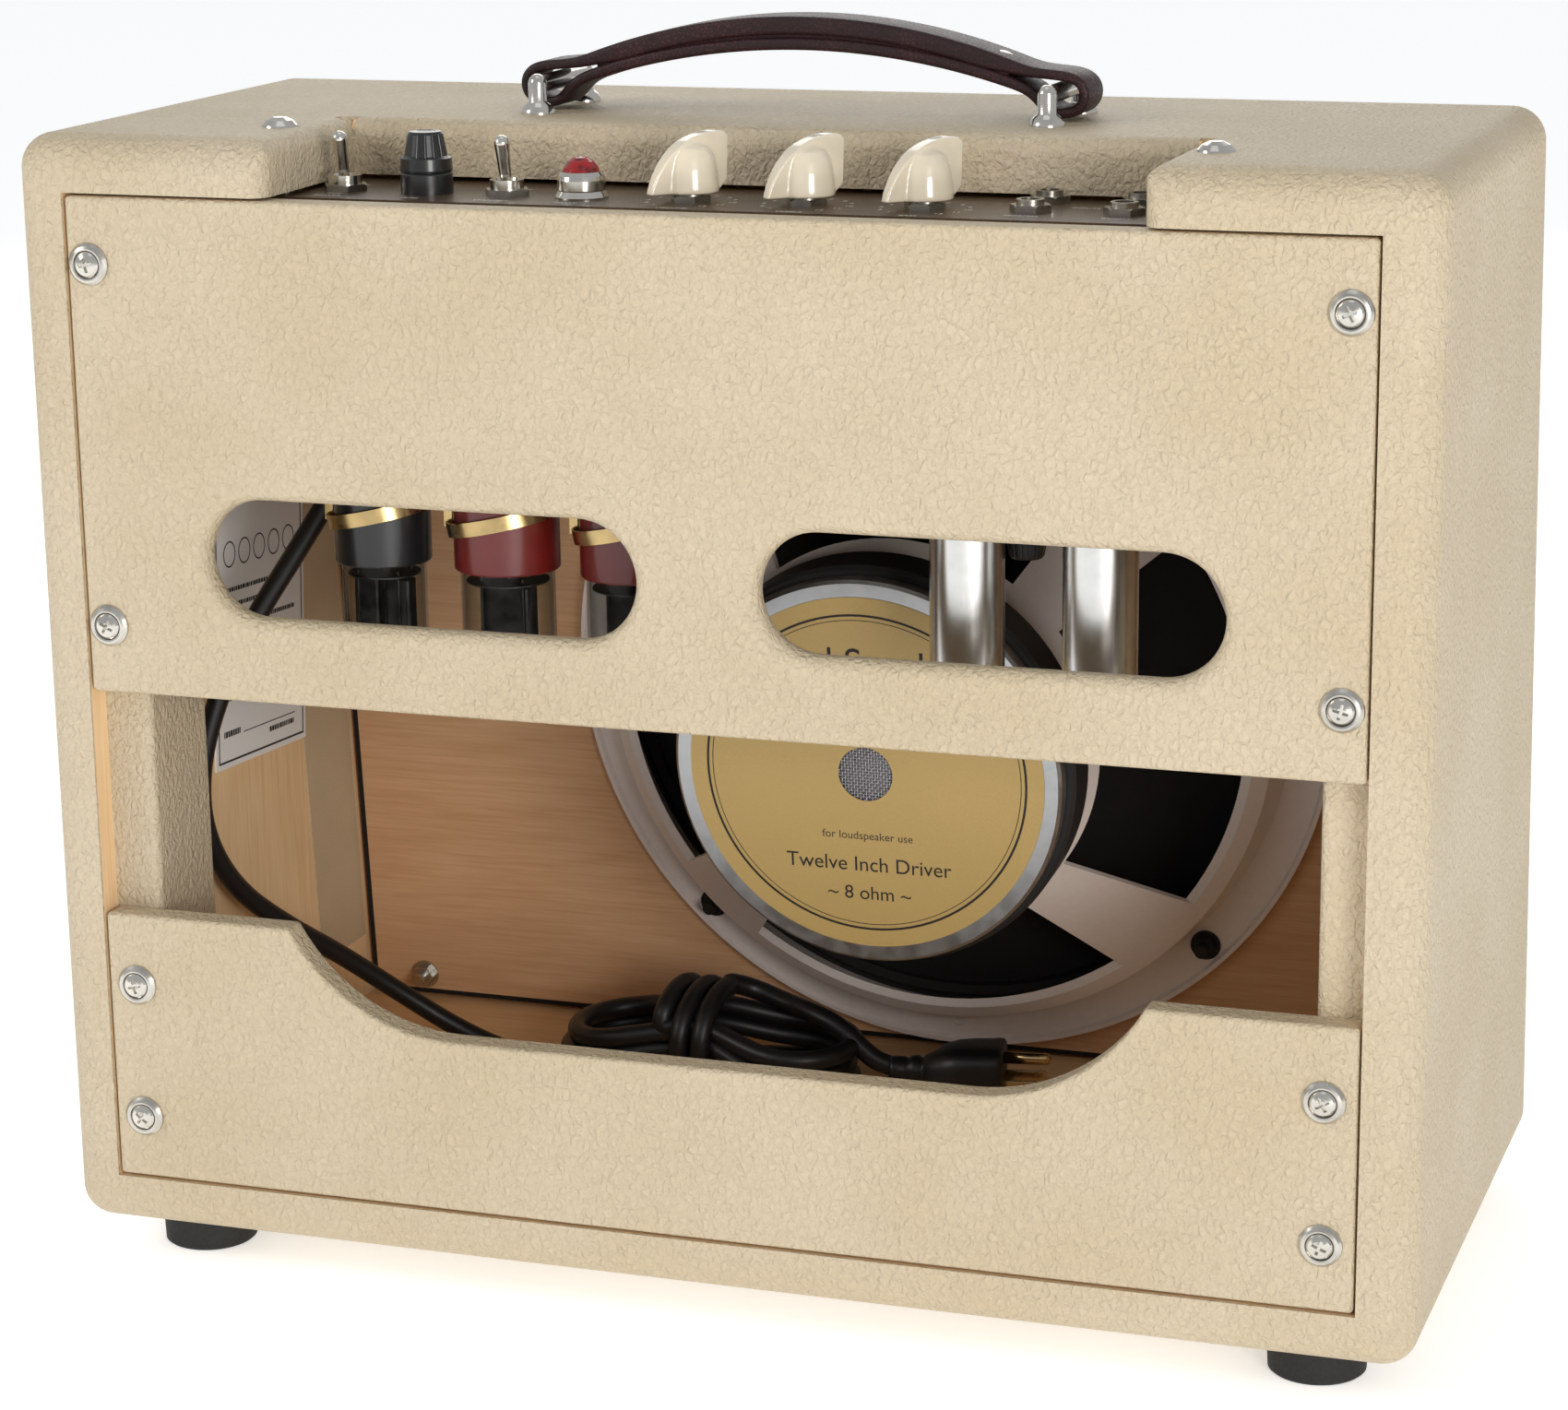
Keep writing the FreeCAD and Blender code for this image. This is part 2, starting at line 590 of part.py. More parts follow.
def chassis():
    half = chassis_length / 2
    t = chassis_wall
    ceiling = box(-half, half, chassis_web_y, chassis_back_y, chassis_top - t, chassis_top)
    floor = box(-half, half, chassis_web_y, chassis_back_y, chassis_low, chassis_low + t)
    walls = [box(-half, half, chassis_web_y, chassis_web_y + t, chassis_low + t, chassis_top - t)]
    walls += [box(x, x + t, chassis_web_y + t, chassis_back_y, chassis_low + t, chassis_top - t)
              for x in (-half, half - t)]
    plate = box(-half, half, chassis_web_y + t, chassis_back_y - 6, chassis_top, faceplate_top)
    holes = [(power_switch_x, row_y, 6.1), (standby_switch_x, row_y, 6.1), (fuse_x, row_y, 6.7),
             (pilot_x, row_y, 7.1)]
    holes += [(x, row_y, 4.85) for x in knob_x]
    holes += [(x, y, 4.85) for x, y in jack_places()]
    holes += [(x, bolt_y, 3.3) for x in bolt_places]
    for hole in holes:
        ceiling = ceiling.cut(panel_hole(*hole))
        plate = plate.cut(panel_hole(*hole))
    low_holes = [(rectifier_x, tube_y, 14.6)] + [(x, tube_y, 14.6) for x in power_tube_x]
    low_holes += [(x, tube_y, 10.6) for x in preamp_x] + [(ht_fuse_x, ht_fuse_y, 6.7),
                                                          (gland_x, gland_y, 6.1)]
    for hole in low_holes:
        floor = floor.cut(flange_hole(*hole))
    bolts = []
    for x in bolt_places:
        head = moved(lathe([(0, 3.6), (2.4, 3.4), (4.8, 2.3), (6.3, 0.6), (6.5, 0), (0, 0)]),
                     x, bolt_y, top_z)
        shank = rod(3.2, (x, bolt_y, chassis_top - 12), (x, bolt_y, top_z))
        spacer = rod(8.0, (x, bolt_y, faceplate_top), (x, bolt_y, inside_high))
        nut = hexagon(11.0, 5.0, 3.2, x, bolt_y, chassis_top - chassis_wall - 5.0)
        bolts.append(fused([head, shank, spacer, nut]))
    add("chassis", ceiling, floor, walls)
    add("faceplate", plate)
    add("chassis_bolts", bolts)


gland_x = 166.0
gland_y = back_y - 80.0
ht_fuse_y = tube_y - ht_fuse_back


def switches():
    bodies, nuts = [], []
    pivot_z = faceplate_top + 1.5
    for name, x in (("power_switch_lever", power_switch_x), ("standby_switch_lever", standby_switch_x)):
        bush = rod(6.0, (x, row_y, chassis_top - chassis_wall - 3), (x, row_y, faceplate_top + 5.6))
        bush = bush.cut(cone(1.0, 4.6, (x, row_y, pivot_z - 4), (x, row_y, faceplate_top + 5.7)))
        bush = bush.cut(Part.makeSphere(3.4, Vec(x, row_y, pivot_z)))
        case = box(x - 6.5, x + 6.5, row_y - 14, row_y + 14, chassis_top - 27,
                   chassis_top - chassis_wall - 1.2)
        case = case.makeFillet(1.0, case.Edges)
        case = case.cut(rod(2.6, (x, row_y, chassis_top - 16), (x, row_y, faceplate_top)))
        lugs = [box(x - 2.5, x + 2.5, row_y + k * 9 - 0.4, row_y + k * 9 + 0.4, chassis_top - 35,
                    chassis_top - 26.5)
                for k in (-1, 0, 1)]
        bodies.append(fused([bush, case] + lugs))
        nuts.append(hexagon(14.3, 2.4, 6.05, x, row_y, faceplate_top))
        ball = Part.makeSphere(3.0, Vec(x, row_y, pivot_z))
        stem = cone(1.75, 2.75, (x, row_y, pivot_z), (x, row_y, pivot_z + 17.5))
        tip = Part.makeSphere(2.75, Vec(x, row_y, pivot_z + 17.5))
        lever = fused([ball, stem, tip])
        add(name, turned(lever, -switch_throw / 2, (1, 0, 0), (x, row_y, pivot_z)))
    add("toggle_switch_bodies", bodies)
    return nuts


def fuse_holder(x, y, z, up):
    """Body, cap and fuse of a panel fuse holder. The cap points up or down from the panel at height z."""
    body = lathe([(4.0, -34), (6.5, -34), (6.5, 0), (9.3, 0), (9.3, 6.8), (8.9, 7.4), (6.6, 7.4), (6.6, 1.0),
                  (4.0, 1.0)])
    cap = lathe([(3.0, 3.0), (6.3, 3.0), (6.3, 7.7), (9.2, 7.7), (9.3, 8.4), (9.1, 12.4), (7.7, 13.2),
                 (6.3, 20.6), (5.6, 21.6), (3.0, 21.9)])
    core = Part.makeCylinder(3.1, 16.0, Vec(0, 0, 5.8))
    cap = fused([cap, core])
    ribs = []
    for k in range(16):
        groove = cone(0.75, 0.6, (8.2, 0, 12.9), (6.6, 0, 21.0))
        ribs.append(turned(groove, 22.5 * k))
    cap = cap.cut(fused(ribs))
    slot = box(-4, 4, -0.5, 0.5, 21.3, 23)
    cap = cap.cut(slot)
    fuse = fused([Part.makeCylinder(2.55, 27.0, Vec(0, 0, -21.5)),
                  Part.makeCylinder(2.9, 5.0, Vec(0, 0, -26.5)), Part.makeCylinder(2.9, 5.2, Vec(0, 0, 0.5))])
    shapes = [body, cap, fuse]
    if not up:
        shapes = [turned(s, 180, (1, 0, 0)) for s in shapes]
    return [moved(s, x, y, z) for s in shapes]


def fuses():
    body, cap, fuse = fuse_holder(fuse_x, row_y, faceplate_top, True)
    ht_body, ht_cap, ht_fuse = fuse_holder(ht_fuse_x, ht_fuse_y, chassis_low, False)
    nut = hexagon(17.0, 3.0, 6.55, fuse_x, row_y, chassis_top - chassis_wall - 3.0)
    ht_nut = hexagon(17.0, 3.0, 6.55, ht_fuse_x, ht_fuse_y, chassis_low + chassis_wall)
    add("fuse_holders", body, ht_body)
    add("mains_fuse_cap", cap)
    add("mains_fuse", fuse)
    add("ht_fuse_cap", ht_cap)
    add("ht_fuse", ht_fuse)
    return [nut, ht_nut]


def pilot_light():
    z = faceplate_top
    bezel = lathe([(6.0, -10), (7.0, -10), (7.0, 0), (9.4, 0), (9.5, 0.6), (8.6, 2.1), (8.3, 2.6), (8.5, 3.0),
                   (8.5, 6.4), (8.1, 7.8), (7.1, 9.2), (6.7, 9.2), (6.7, 1.0), (6.0, 1.0)])
    jewel = lathe([(0, 14.4), (2.6, 14.0), (4.6, 12.7), (6.2, 10.6), (6.5, 9.2), (6.5, 6.0), (5.2, 6.0),
                   (5.0, 9.0), (0, 10.0)])
    lamp = fused([lathe([(0, 5.6), (2.4, 4.8), (3.6, 2.6), (3.6, -1.0), (4.4, -1.6), (4.4, -12), (5.4, -12),
                         (5.4, -22), (0, -22)]), box(-1.6, 1.6, -9, -5, -20, -19)])
    add("pilot_bezel", moved(bezel, pilot_x, row_y, z))
    add("pilot_jewel", moved(jewel, pilot_x, row_y, z))
    add("pilot_lamp", moved(lamp, pilot_x, row_y, z))
    return [hexagon(17.0, 2.4, 7.05, pilot_x, row_y, chassis_top - chassis_wall - 2.4)]


def knob():
    """Pointer knob about +Z, pointer towards +Y, its base at z = 0."""
    dome = lathe([(0, 17.2), (3.6, 16.8), (6.6, 15.2), (8.4, 12.2), (9.3, 8.0), (9.9, 2.2), (9.9, 0), (0, 0)])
    outline_top = 20.2
    rear, front = -13.6, 17.4

    def at(y, z):
        return Vec(-3.9, y, z)

    edges = [Part.LineSegment(at(rear + 0.8, 3.4), at(rear - 0.6, outline_top - 1.6)).toShape(),
             Part.LineSegment(at(rear - 0.6, outline_top - 1.6), at(rear + 1.0, outline_top)).toShape(),
             Part.Arc(at(rear + 1.0, outline_top), at(8.0, 14.6), at(front, 0)).toShape(),
             Part.LineSegment(at(front, 0), at(-9.0, 0)).toShape(),
             Part.LineSegment(at(-9.0, 0), at(rear + 0.8, 3.4)).toShape()]
    blade = Part.Face(Part.Wire(edges)).extrude(Vec(7.8, 0, 0))
    taper = prism([(-4.1, rear - 2), (4.1, rear - 2), (3.6, 4), (1.5, front + 1), (-1.5, front + 1),
                   (-3.6, 4)],
                  "z", -1, 30)
    lean_in = prism([(-4.4, -1), (4.4, -1), (2.6, 25), (-2.6, 25)], "y", rear - 2, front + 2)
    blade = blade.common(taper).common(lean_in)
    body = fused([dome, blade]).cut(Part.makeCylinder(3.02, 10.0))
    return body


def pots():
    lift = 3.2
    bodies, nuts = [], []
    for k, x in enumerate(knob_x):
        low = chassis_top - chassis_wall
        case = fused([rod(12.0, (x, row_y, low - 12), (x, row_y, low - 1.0)),
                      rod(4.75, (x, row_y, low - 2), (x, row_y, faceplate_top + 2.6)),
                      box(x - 9, x + 9, row_y + 8, row_y + 19, low - 6, low - 4.6)])
        case = case.cut(rod(3.1, (x, row_y, low - 10), (x, row_y, faceplate_top + 5)))
        bodies.append(case)
        nuts.append(hexagon(12.7, 2.2, 4.8, x, row_y, faceplate_top))
        shaft = rod(3.0, (x, row_y, low - 9.5), (x, row_y, faceplate_top + lift + 9.5))
        head = turned(moved(knob(), 0, 0, faceplate_top + lift), -knob_rest)
        add("knob_%d" % (k + 1), moved(head, x, row_y), shaft)
    add("potentiometers", bodies)
    return nuts


def jacks():
    bodies, nuts = [], []
    low = chassis_top - chassis_wall
    for x, y in jack_places():
        body = fused([rod(4.75, (x, y, low - 1), (x, y, faceplate_top + 4.4)),
                      box(x - 10, x + 10, y - 8.5, y + 8.5, low - 4, low - 1.0)])
        body = body.cut(rod(jack_bore, (x, y, low - 5), (x, y, faceplate_top + 6)))
        spring = [box(x - 9, x - 7.8, y - 3, y + 3, low - 27, low - 3.5),
                  box(x - 9, x - 4, y - 3, y + 3, low - 27.8, low - 26.8)]
        ground = box(x + 7.8, x + 9, y - 3, y + 3, low - 20, low - 3.5)
        bodies.append(fused([body] + spring + [ground]))
        nuts.append(hexagon(12.7, 2.6, 4.8, x, y, faceplate_top))
    add("input_jacks", bodies)
    return nuts


jack_bore = 3.25


def electronics():
    board_y = chassis_web_y + chassis_wall + 7.0
    x0, x1 = -145.0, 150.0
    z0, z1 = chassis_low + 36, chassis_low + 70
    card = box(x0, x1, board_y, board_y + 2.4, z0, z1)
    posts = [rod(3.0, (x, chassis_web_y + chassis_wall, z), (x, board_y, z))
             for x in (x0 + 10, (x0 + x1) / 2, x1 - 10) for z in (z0 + 6, z1 - 6)]
    add("circuit_board", fused([card] + posts))
    items = []
    count = 17
    for k in range(count):
        x = x0 + 18 + k * (x1 - x0 - 36) / (count - 1)
        radius = 5.2 if k % 4 == 1 else 2.6
        length = 22.0 if k % 4 == 1 else 13.0
        middle = (z0 + z1) / 2
        y = board_y + 2.4 + radius + 0.4
        body = rod(radius, (x, y, middle - length / 2), (x, y, middle + length / 2))
        lead = rod(0.5, (x, y, z0 + 4), (x, y, z1 - 4))
        ends = [rod(0.5, (x, board_y + 2.4, z), (x, y, z)) for z in (z0 + 4, z1 - 4)]
        eyes = [rod(1.8, (x, board_y + 2.4, z), (x, board_y + 3.4, z)) for z in (z0 + 4, z1 - 4)]
        items.append(fused([body, lead] + ends + eyes))
    add("board_components", items)
    cans = []
    for x in (-8.0, -58.0):
        y = chassis_back_y - 18
        can = rod(11.0, (x - 22, y, chassis_low + chassis_wall + 12),
                  (x + 22, y, chassis_low + chassis_wall + 12))
        rim = rod(11.6, (x + 15, y, chassis_low + chassis_wall + 12),
                  (x + 17, y, chassis_low + chassis_wall + 12))
        cans.append(fused([can, rim]))
    add("filter_capacitors", cans)


def transformer(x, width, stack, height, bell):
    """Laminated core on the front of the chassis with its coil inside two end bells."""
    y1 = chassis_web_y
    z = (chassis_low + chassis_top) / 2
    core = box(x - width / 2, x + width / 2, y1 - bell - stack, y1 - bell, z - height / 2, z + height / 2)
    bells = []
    for y0, yy in ((y1 - bell, y1), (y1 - 2 * bell - stack, y1 - bell - stack)):
        bells.append(box(x - width / 2 + 9, x + width / 2 - 9, y0, yy, z - height / 2 + 9,
                         z + height / 2 - 9))
    bells = [b.makeFillet(4.0, [e for e in b.Edges if e.BoundBox.YLength > bell - 1]) for b in bells]
    bolts = [rod(2.2, (x + a * (width / 2 - 5), y1 - bell - stack - 4, z + b * (height / 2 - 5)),
                 (x + a * (width / 2 - 5), y1, z + b * (height / 2 - 5))) for a in (-1, 1) for b in (-1, 1)]
    return fused([core] + bells + bolts)


def sockets_and_tubes():
    sockets, retainers, bases, glass, electrodes, shields = [], [], [], [], [], []
    base_top = chassis_low - 6.0
    base_low = base_top - tube_base_length
    for x in (rectifier_x,) + power_tube_x:
        ring = fused([rod(14.4, (x, tube_y, chassis_low - 4.5), (x, tube_y, chassis_low + 7)),
                      box(x - 21, x + 21, tube_y - 5, tube_y + 5, chassis_low - 1.2, chassis_low),
                      rod(16.5, (x, tube_y, chassis_low - 5.6), (x, tube_y, chassis_low))])
        key = rod(4.4, (x, tube_y, chassis_low - 6), (x, tube_y, chassis_low + 8))
        pins = [rod(1.6, (x + 8.7 * math.cos(math.radians(45 * k + 22.5)),
                          tube_y + 8.7 * math.sin(math.radians(45 * k + 22.5)), chassis_low - 6),
                    (x + 8.7 * math.cos(math.radians(45 * k + 22.5)),
                     tube_y + 8.7 * math.sin(math.radians(45 * k + 22.5)), chassis_low + 8))
                for k in range(8)]
        sockets.append(ring.cut(fused([key] + pins)))
        big = x != rectifier_x
        radius = 19.3 if big else 17.7
        bulb = 17.3 if big else 15.5
        base = lathe([(0, base_top), (radius - 0.8, base_top), (radius, base_top - 0.8),
                      (radius, base_low + 0.6), (radius - 0.4, base_low), (bulb + 0.05, base_low),
                      (bulb + 0.05, base_low + 6), (0, base_low + 6)])
        plug_pins = [rod(1.15, (8.7 * math.cos(math.radians(45 * k + 22.5)),
                                8.7 * math.sin(math.radians(45 * k + 22.5)), base_top - 0.5),
                         (8.7 * math.cos(math.radians(45 * k + 22.5)),
                          8.7 * math.sin(math.radians(45 * k + 22.5)), base_top + 10)) for k in range(8)]
        spigot = Part.makeCylinder(3.9, 12.0, Vec(0, 0, base_top - 0.5))
        base = moved(fused([base, spigot] + plug_pins), x, tube_y)
        bases.append((big, base))
        end = base_low - tube_glass_length
        outer = [(0, end), (5, end + 0.5), (bulb - 4.5, end + 4.2), (bulb - 1, end + 9), (bulb, end + 14),
                 (bulb, base_low + 6)]
        t = 1.0
        inner = [(bulb - t, base_low + 6), (bulb - t, end + 14.3), (bulb - 1 - t, end + 9.5),
                 (bulb - 4.8 - t, end + 5.3), (4.6, end + 1.7), (0, end + 1.2)]
        glass.append(moved(lathe(outer + inner), x, tube_y))
        electrodes.append(electrode_set(x, base_low, bulb, big))
        band = lathe([(radius + 1.6, -2.6), (radius + 2.2, -2.6), (radius + 2.2, 2.6), (radius + 1.6, 2.6)])
        band = turned(band, 12, (0, 1, 0))
        band = moved(band, x + 0.6, tube_y, base_top - 8.5)
        arms = [box(x + s * (radius + 1.7) - 2.5, x + s * (radius + 1.7) + 2.5, tube_y - 2.5, tube_y + 2.5,
                    base_top - 8.5 - s * 4.4, chassis_low - 1.3) for s in (-1, 1)]
        arms = [a.cut(rod(radius + 1.2, (x, tube_y, base_top - 40), (x, tube_y, chassis_low))) for a in arms]
        retainers.append(fused([band] + arms))
    for x in preamp_x:
        ring = fused([rod(10.4, (x, tube_y, chassis_low - 3.5), (x, tube_y, chassis_low + 7)),
                      box(x - 17, x + 17, tube_y - 4, tube_y + 4, chassis_low - 1.0, chassis_low)])
        skirt = lathe([(11.6, chassis_low - 9), (12.2, chassis_low - 9), (12.2, chassis_low - 1.0),
                       (10.0, chassis_low - 1.0), (10.0, chassis_low - 1.6), (11.6, chassis_low - 1.6)])
        ring = fused([ring, moved(skirt, x, tube_y)])
        pins = [rod(0.9, (x + 5.95 * math.cos(math.radians(36 * k)),
                          tube_y + 5.95 * math.sin(math.radians(36 * k)), chassis_low - 6),
                    (x + 5.95 * math.cos(math.radians(36 * k)),
                     tube_y + 5.95 * math.sin(math.radians(36 * k)), chassis_low + 8)) for k in range(9)]
        sockets.append(ring.cut(fused(pins)))
        top = chassis_low - 2.5
        low = top - shield_length
        shield = lathe([(shield_radius - 0.6, top), (shield_radius, top), (shield_radius, top - 5),
                        (shield_radius - 0.35, top - 6), (shield_radius, top - 7), (shield_radius, low + 3),
                        (shield_radius - 2, low + 0.4), (shield_radius - 5, low),
                        (shield_radius - 5, low + 0.6), (shield_radius - 2.3, low + 1.0),
                        (shield_radius - 0.6, low + 3.2)])
        shields.append(moved(shield, x, tube_y))
        t_top = chassis_low - 4.2
        t_low = t_top - 47
        outer = [(0, t_low - 5), (1.2, t_low - 4), (1.6, t_low), (6, t_low + 1.2), (9.4, t_low + 3.6),
                 (10.4, t_low + 7), (10.4, t_top)]
        inner = [(0, t_top)]
        tube = fused([lathe(outer + inner)] + [rod(0.55, (5.95 * math.cos(math.radians(36 * k)),
                      5.95 * math.sin(math.radians(36 * k)), t_top - 0.5),
                                                   (5.95 * math.cos(math.radians(36 * k)),
                      5.95 * math.sin(math.radians(36 * k)), t_top + 8)) for k in range(9)])
        glass.append(moved(tube, x, tube_y))
    add("tube_sockets", sockets)
    add("tube_retainers", retainers)
    add("power_tube_bases", [b for big, b in bases if big])
    add("rectifier_base", [b for big, b in bases if not big])
    add("tube_envelopes", glass)
    add("tube_electrodes", electrodes)
    add("tube_shields", shields)


def electrode_set(x, base_low, bulb, big):
    """Plate, mica spacers and stem inside a clear envelope."""
    top = base_low + 4
    low = base_low - tube_glass_length + 16
    micas = [Part.makeCylinder(bulb - 2.2, 0.6, Vec(0, 0, z)) for z in (base_low - 5, low)]
    stem = lathe([(0, top + 1.5), (5.0, top + 1.5), (4.0, base_low - 3), (0, base_low - 3)])
    stem = stem.cut(box(-9, 9, 2.2, 9, 0, 900)).cut(box(-9, 9, -9, -2.2, 0, 900))
    width = 9.5 if big else 5.6
    plates = [box(-width, width, -4.6, 4.6, low + 2, base_low - 7)]
    if not big:
        plates = [moved(box(-5.0, 5.0, -3.6, 3.6, low + 2, base_low - 7), s * 6.2) for s in (-1, 1)]
    plates = [p.makeFillet(1.6, [e for e in p.Edges if e.BoundBox.ZLength > 10]) for p in plates]
    rods = [rod(0.6, (a * 8, b * 6, low - 2), (a * 8, b * 6, base_low - 3)) for a in (-1, 1) for b in (-1, 1)]
    return moved(fused(micas + [stem] + plates + rods + [Part.makeCylinder(0.8, base_low - low,
                                                                           Vec(0, 0, low))]),
                 x, tube_y)


def handle():
    """Leather strap with a loop at each end round a crossbar, on which it can lift by its slack."""
    y = back_y - handle_y
    y0, y1 = y - strap_width / 2, y + strap_width / 2
    bar_z = top_z + bar_height
    eye = bar_radius + loop_slack
    loop_z = bar_z - loop_slack + loop_clearance
    crown = top_z + handle_rise
    join = handle_span - 10.0
    shoulder_top = loop_z + loop_radius + 1.2
    shoulder_low = loop_z - 0.4

    def at(x, z):
        return Vec(x, y0, z)

    arch = [Part.Arc(at(-join, shoulder_top), at(0, crown), at(join, shoulder_top)).toShape(),
            Part.LineSegment(at(join, shoulder_top), at(join, shoulder_low)).toShape(),
            Part.Arc(at(join, shoulder_low), at(0, crown - strap_middle), at(-join, shoulder_low)).toShape(),
            Part.LineSegment(at(-join, shoulder_low), at(-join, shoulder_top)).toShape()]
    pieces = [Part.Face(Part.Wire(arch)).extrude(Vec(0, strap_width, 0))]
    eyes = []
    for s in (-1, 1):
        inner, outer = s * handle_span, s * (handle_span + eye_reach)
        x0, x1 = sorted((inner, outer))
        slope = [(s * join, shoulder_low), (s * join, shoulder_top), (inner, loop_z + loop_radius),
                 (inner, loop_z - loop_radius)]
        pieces.append(prism(slope, "y", y0, y1))
        pieces.append(box(x0, x1, y0, y1, loop_z - loop_radius, loop_z + loop_radius))
        pieces.append(rod(loop_radius, (outer, y0, loop_z), (outer, y1, loop_z)))
        eyes.append(box(x0, x1, y0 - 1, y1 + 1, loop_z - eye, loop_z + eye))
        eyes.append(rod(eye, (inner, y0 - 1, loop_z), (inner, y1 + 1, loop_z)))
        eyes.append(rod(eye, (outer, y0 - 1, loop_z), (outer, y1 + 1, loop_z)))
    strap = fused(pieces).cut(fused(eyes))
    brackets = []
    post = lathe([(0, 0), (6.2, 0), (6.2, 0.8), (5.4, 2.6), (3.7, 4.0), (3.4, 4.4), (3.4, bar_height + 0.6),
                  (2.9, bar_height + 2.2), (1.4, bar_height + 3.6), (0, bar_height + 4.0)])
    for s in (-1, 1):
        x = s * handle_span
        solids = [rod(bar_radius, (x, y - post_spread, bar_z), (x, y + post_spread, bar_z))]
        for e in (-1, 1):
            py = y + e * post_spread
            solids.append(moved(post, x, py, top_z))
            solids.append(rod(bracket_screw_radius, (x, py, inside_high - 6), (x, py, top_z)))
            solids.append(hexagon(9.5, 4.0, bracket_screw_radius, x, py, inside_high - 4.0))
        brackets.append(fused(solids))
    add("handle_strap", strap)
    add("handle_brackets", brackets)


def chart():
    width, height = 80.0, 124.0
    y1 = back_y - 95.0
    z0 = inside_low + 132.0
    paper = box(inside_half - strip_thickness - 0.2, inside_half, y1 - width, y1, z0, z0 + height)
    paper = turned(paper, 4.0, (1, 0, 0), (inside_half, y1, z0))
    add("tube_chart", paper.cut(side_strip(1)))


# The lead leaves the gland downwards and sideways, hangs past the rear cleat, swings in along the side
# wall and comes down to the floor, where it runs into the hank.
lead_route = [(174.8, -80.0, 281.0), (191.0, -79.5, 257.0), (207.0, -77.0, 233.0), (221.0, -73.0, 204.0),
              (228.6, -69.0, 174.0), (229.6, -71.0, 144.0), (226.0, -85.0, 117.0), (216.0, -107.0, 95.0),
              (202.0, -131.0, 75.0), (184.0, -147.0, 57.0), (162.0, -155.0, 44.5), (138.0, -158.0, 39.2),
              (116.0, -158.0, 39.2)]


def lead_points():
    return [Vec(x, back_y + y, z) for x, y, z in lead_route]


def tube_along(points, diameter):
    """Round tube on straight runs joined by tangent arcs."""
    edges = []
    radii = []
    start = points[0]
    for before, corner, after in zip(points, points[1:], points[2:]):
        a = corner - before
        b = after - corner
        turn = a.getAngle(b)
        cut_back = 0.45 * min(a.Length, b.Length)
        radii.append(cut_back / math.tan(turn / 2))
        a.normalize()
        b.normalize()
        first = corner - a * cut_back
        last = corner + b * cut_back
        inward = b - a
        inward.normalize()
        centre_gap = radii[-1] / math.cos(turn / 2)
        middle = corner + inward * (centre_gap - radii[-1])
        edges.append(Part.LineSegment(start, first).toShape())
        edges.append(Part.Arc(first, middle, last).toShape())
        start = last
    edges.append(Part.LineSegment(start, points[-1]).toShape())
    path = Part.Wire(edges)
    first_run = points[1] - points[0]
    ring = Part.Wire(Part.Circle(points[0], first_run, diameter / 2).toShape())
    solid = path.makePipeShell([ring], True, False)
    print("lead radii", [round(r) for r in radii], "path", round(path.Length, 1),
          "volume ratio", round(solid.Volume / (math.pi * diameter ** 2 / 4 * path.Length), 4))
    return solid


def mains_lead():
    points = lead_points()
    tube = tube_along(points, cord_diameter)
    direction = points[1] - points[0]
    direction.normalize()
    root = Vec(gland_x, gland_y, chassis_low)
    boot_length = (points[0] - root).Length
    boot = Part.makeCone(7.2, cord_diameter / 2 + 0.9, boot_length, root, points[0] - root)
    boot = boot.cut(box(0, 300, -300, 300, chassis_low, 500)).cut(tube)
    collar = fused([rod(8.6, (gland_x, gland_y, chassis_low - 1.6), (gland_x, gland_y, chassis_low)),
                    rod(6.0, (gland_x, gland_y, chassis_low - 0.5), (gland_x, gland_y, chassis_low + 8))])
    add("strain_relief", fused([boot, collar]))
    add("power_cord", tube)
    end = points[-1]
    middle = back_y - hank_y
    low = inside_low + hank_gap
    hank = hank_shape(end.x, middle, low)
    plug = moved(plug_shape(), end.x - hank_length - plug_gap, middle, low + plug_rise)
    add("power_cord_hank", hank.cut(plug))
    add("power_plug", plug)


def hank_shape(x1, middle, low):
    """Outer shape of the wound turns, the wrap round their waist and the end that runs down to the plug."""
    x0 = x1 - hank_length
    flat = box(x0, x1, middle - hank_half_width, middle + hank_half_width, low, low + hank_height)
    flat = flat.makeFillet(22.0, [e for e in flat.Edges if e.BoundBox.ZLength > hank_height - 1])
    wrap = box(x1 - 56, x1 - 36, middle - 26, middle + 26, low, low + wrap_height)
    crown = [e for e in wrap.Edges if e.BoundBox.XLength > 18 and e.CenterOfMass.z > low + 20]
    wrap = wrap.makeFillet(18.0, crown)
    tail = rod(cord_diameter / 2, (x0 + 16, middle, low + hank_height - 1),
               (x0 - plug_gap - 1, middle, low + plug_rise))
    return fused([flat, wrap, tail])


def plug_shape():
    """Moulded plug with two blades and a round pin, pointing along -X and a little to the front."""
    neck = Part.makeCone(5.2, 6.6, 18.0, Vec(0, 0, 0), Vec(1, 0, 0))
    head = box(16, 45, -14, 14, -12, 12)
    head = head.makeFillet(5.0, head.Edges)
    blades = [box(44, 61, s * 6.35 - 0.8, s * 6.35 + 0.8, -7.2, -0.8) for s in (-1, 1)]
    pin = rod(2.4, (44, 0, 6.4), (64, 0, 6.4))
    return turned(fused([neck, head, pin] + blades), 190)


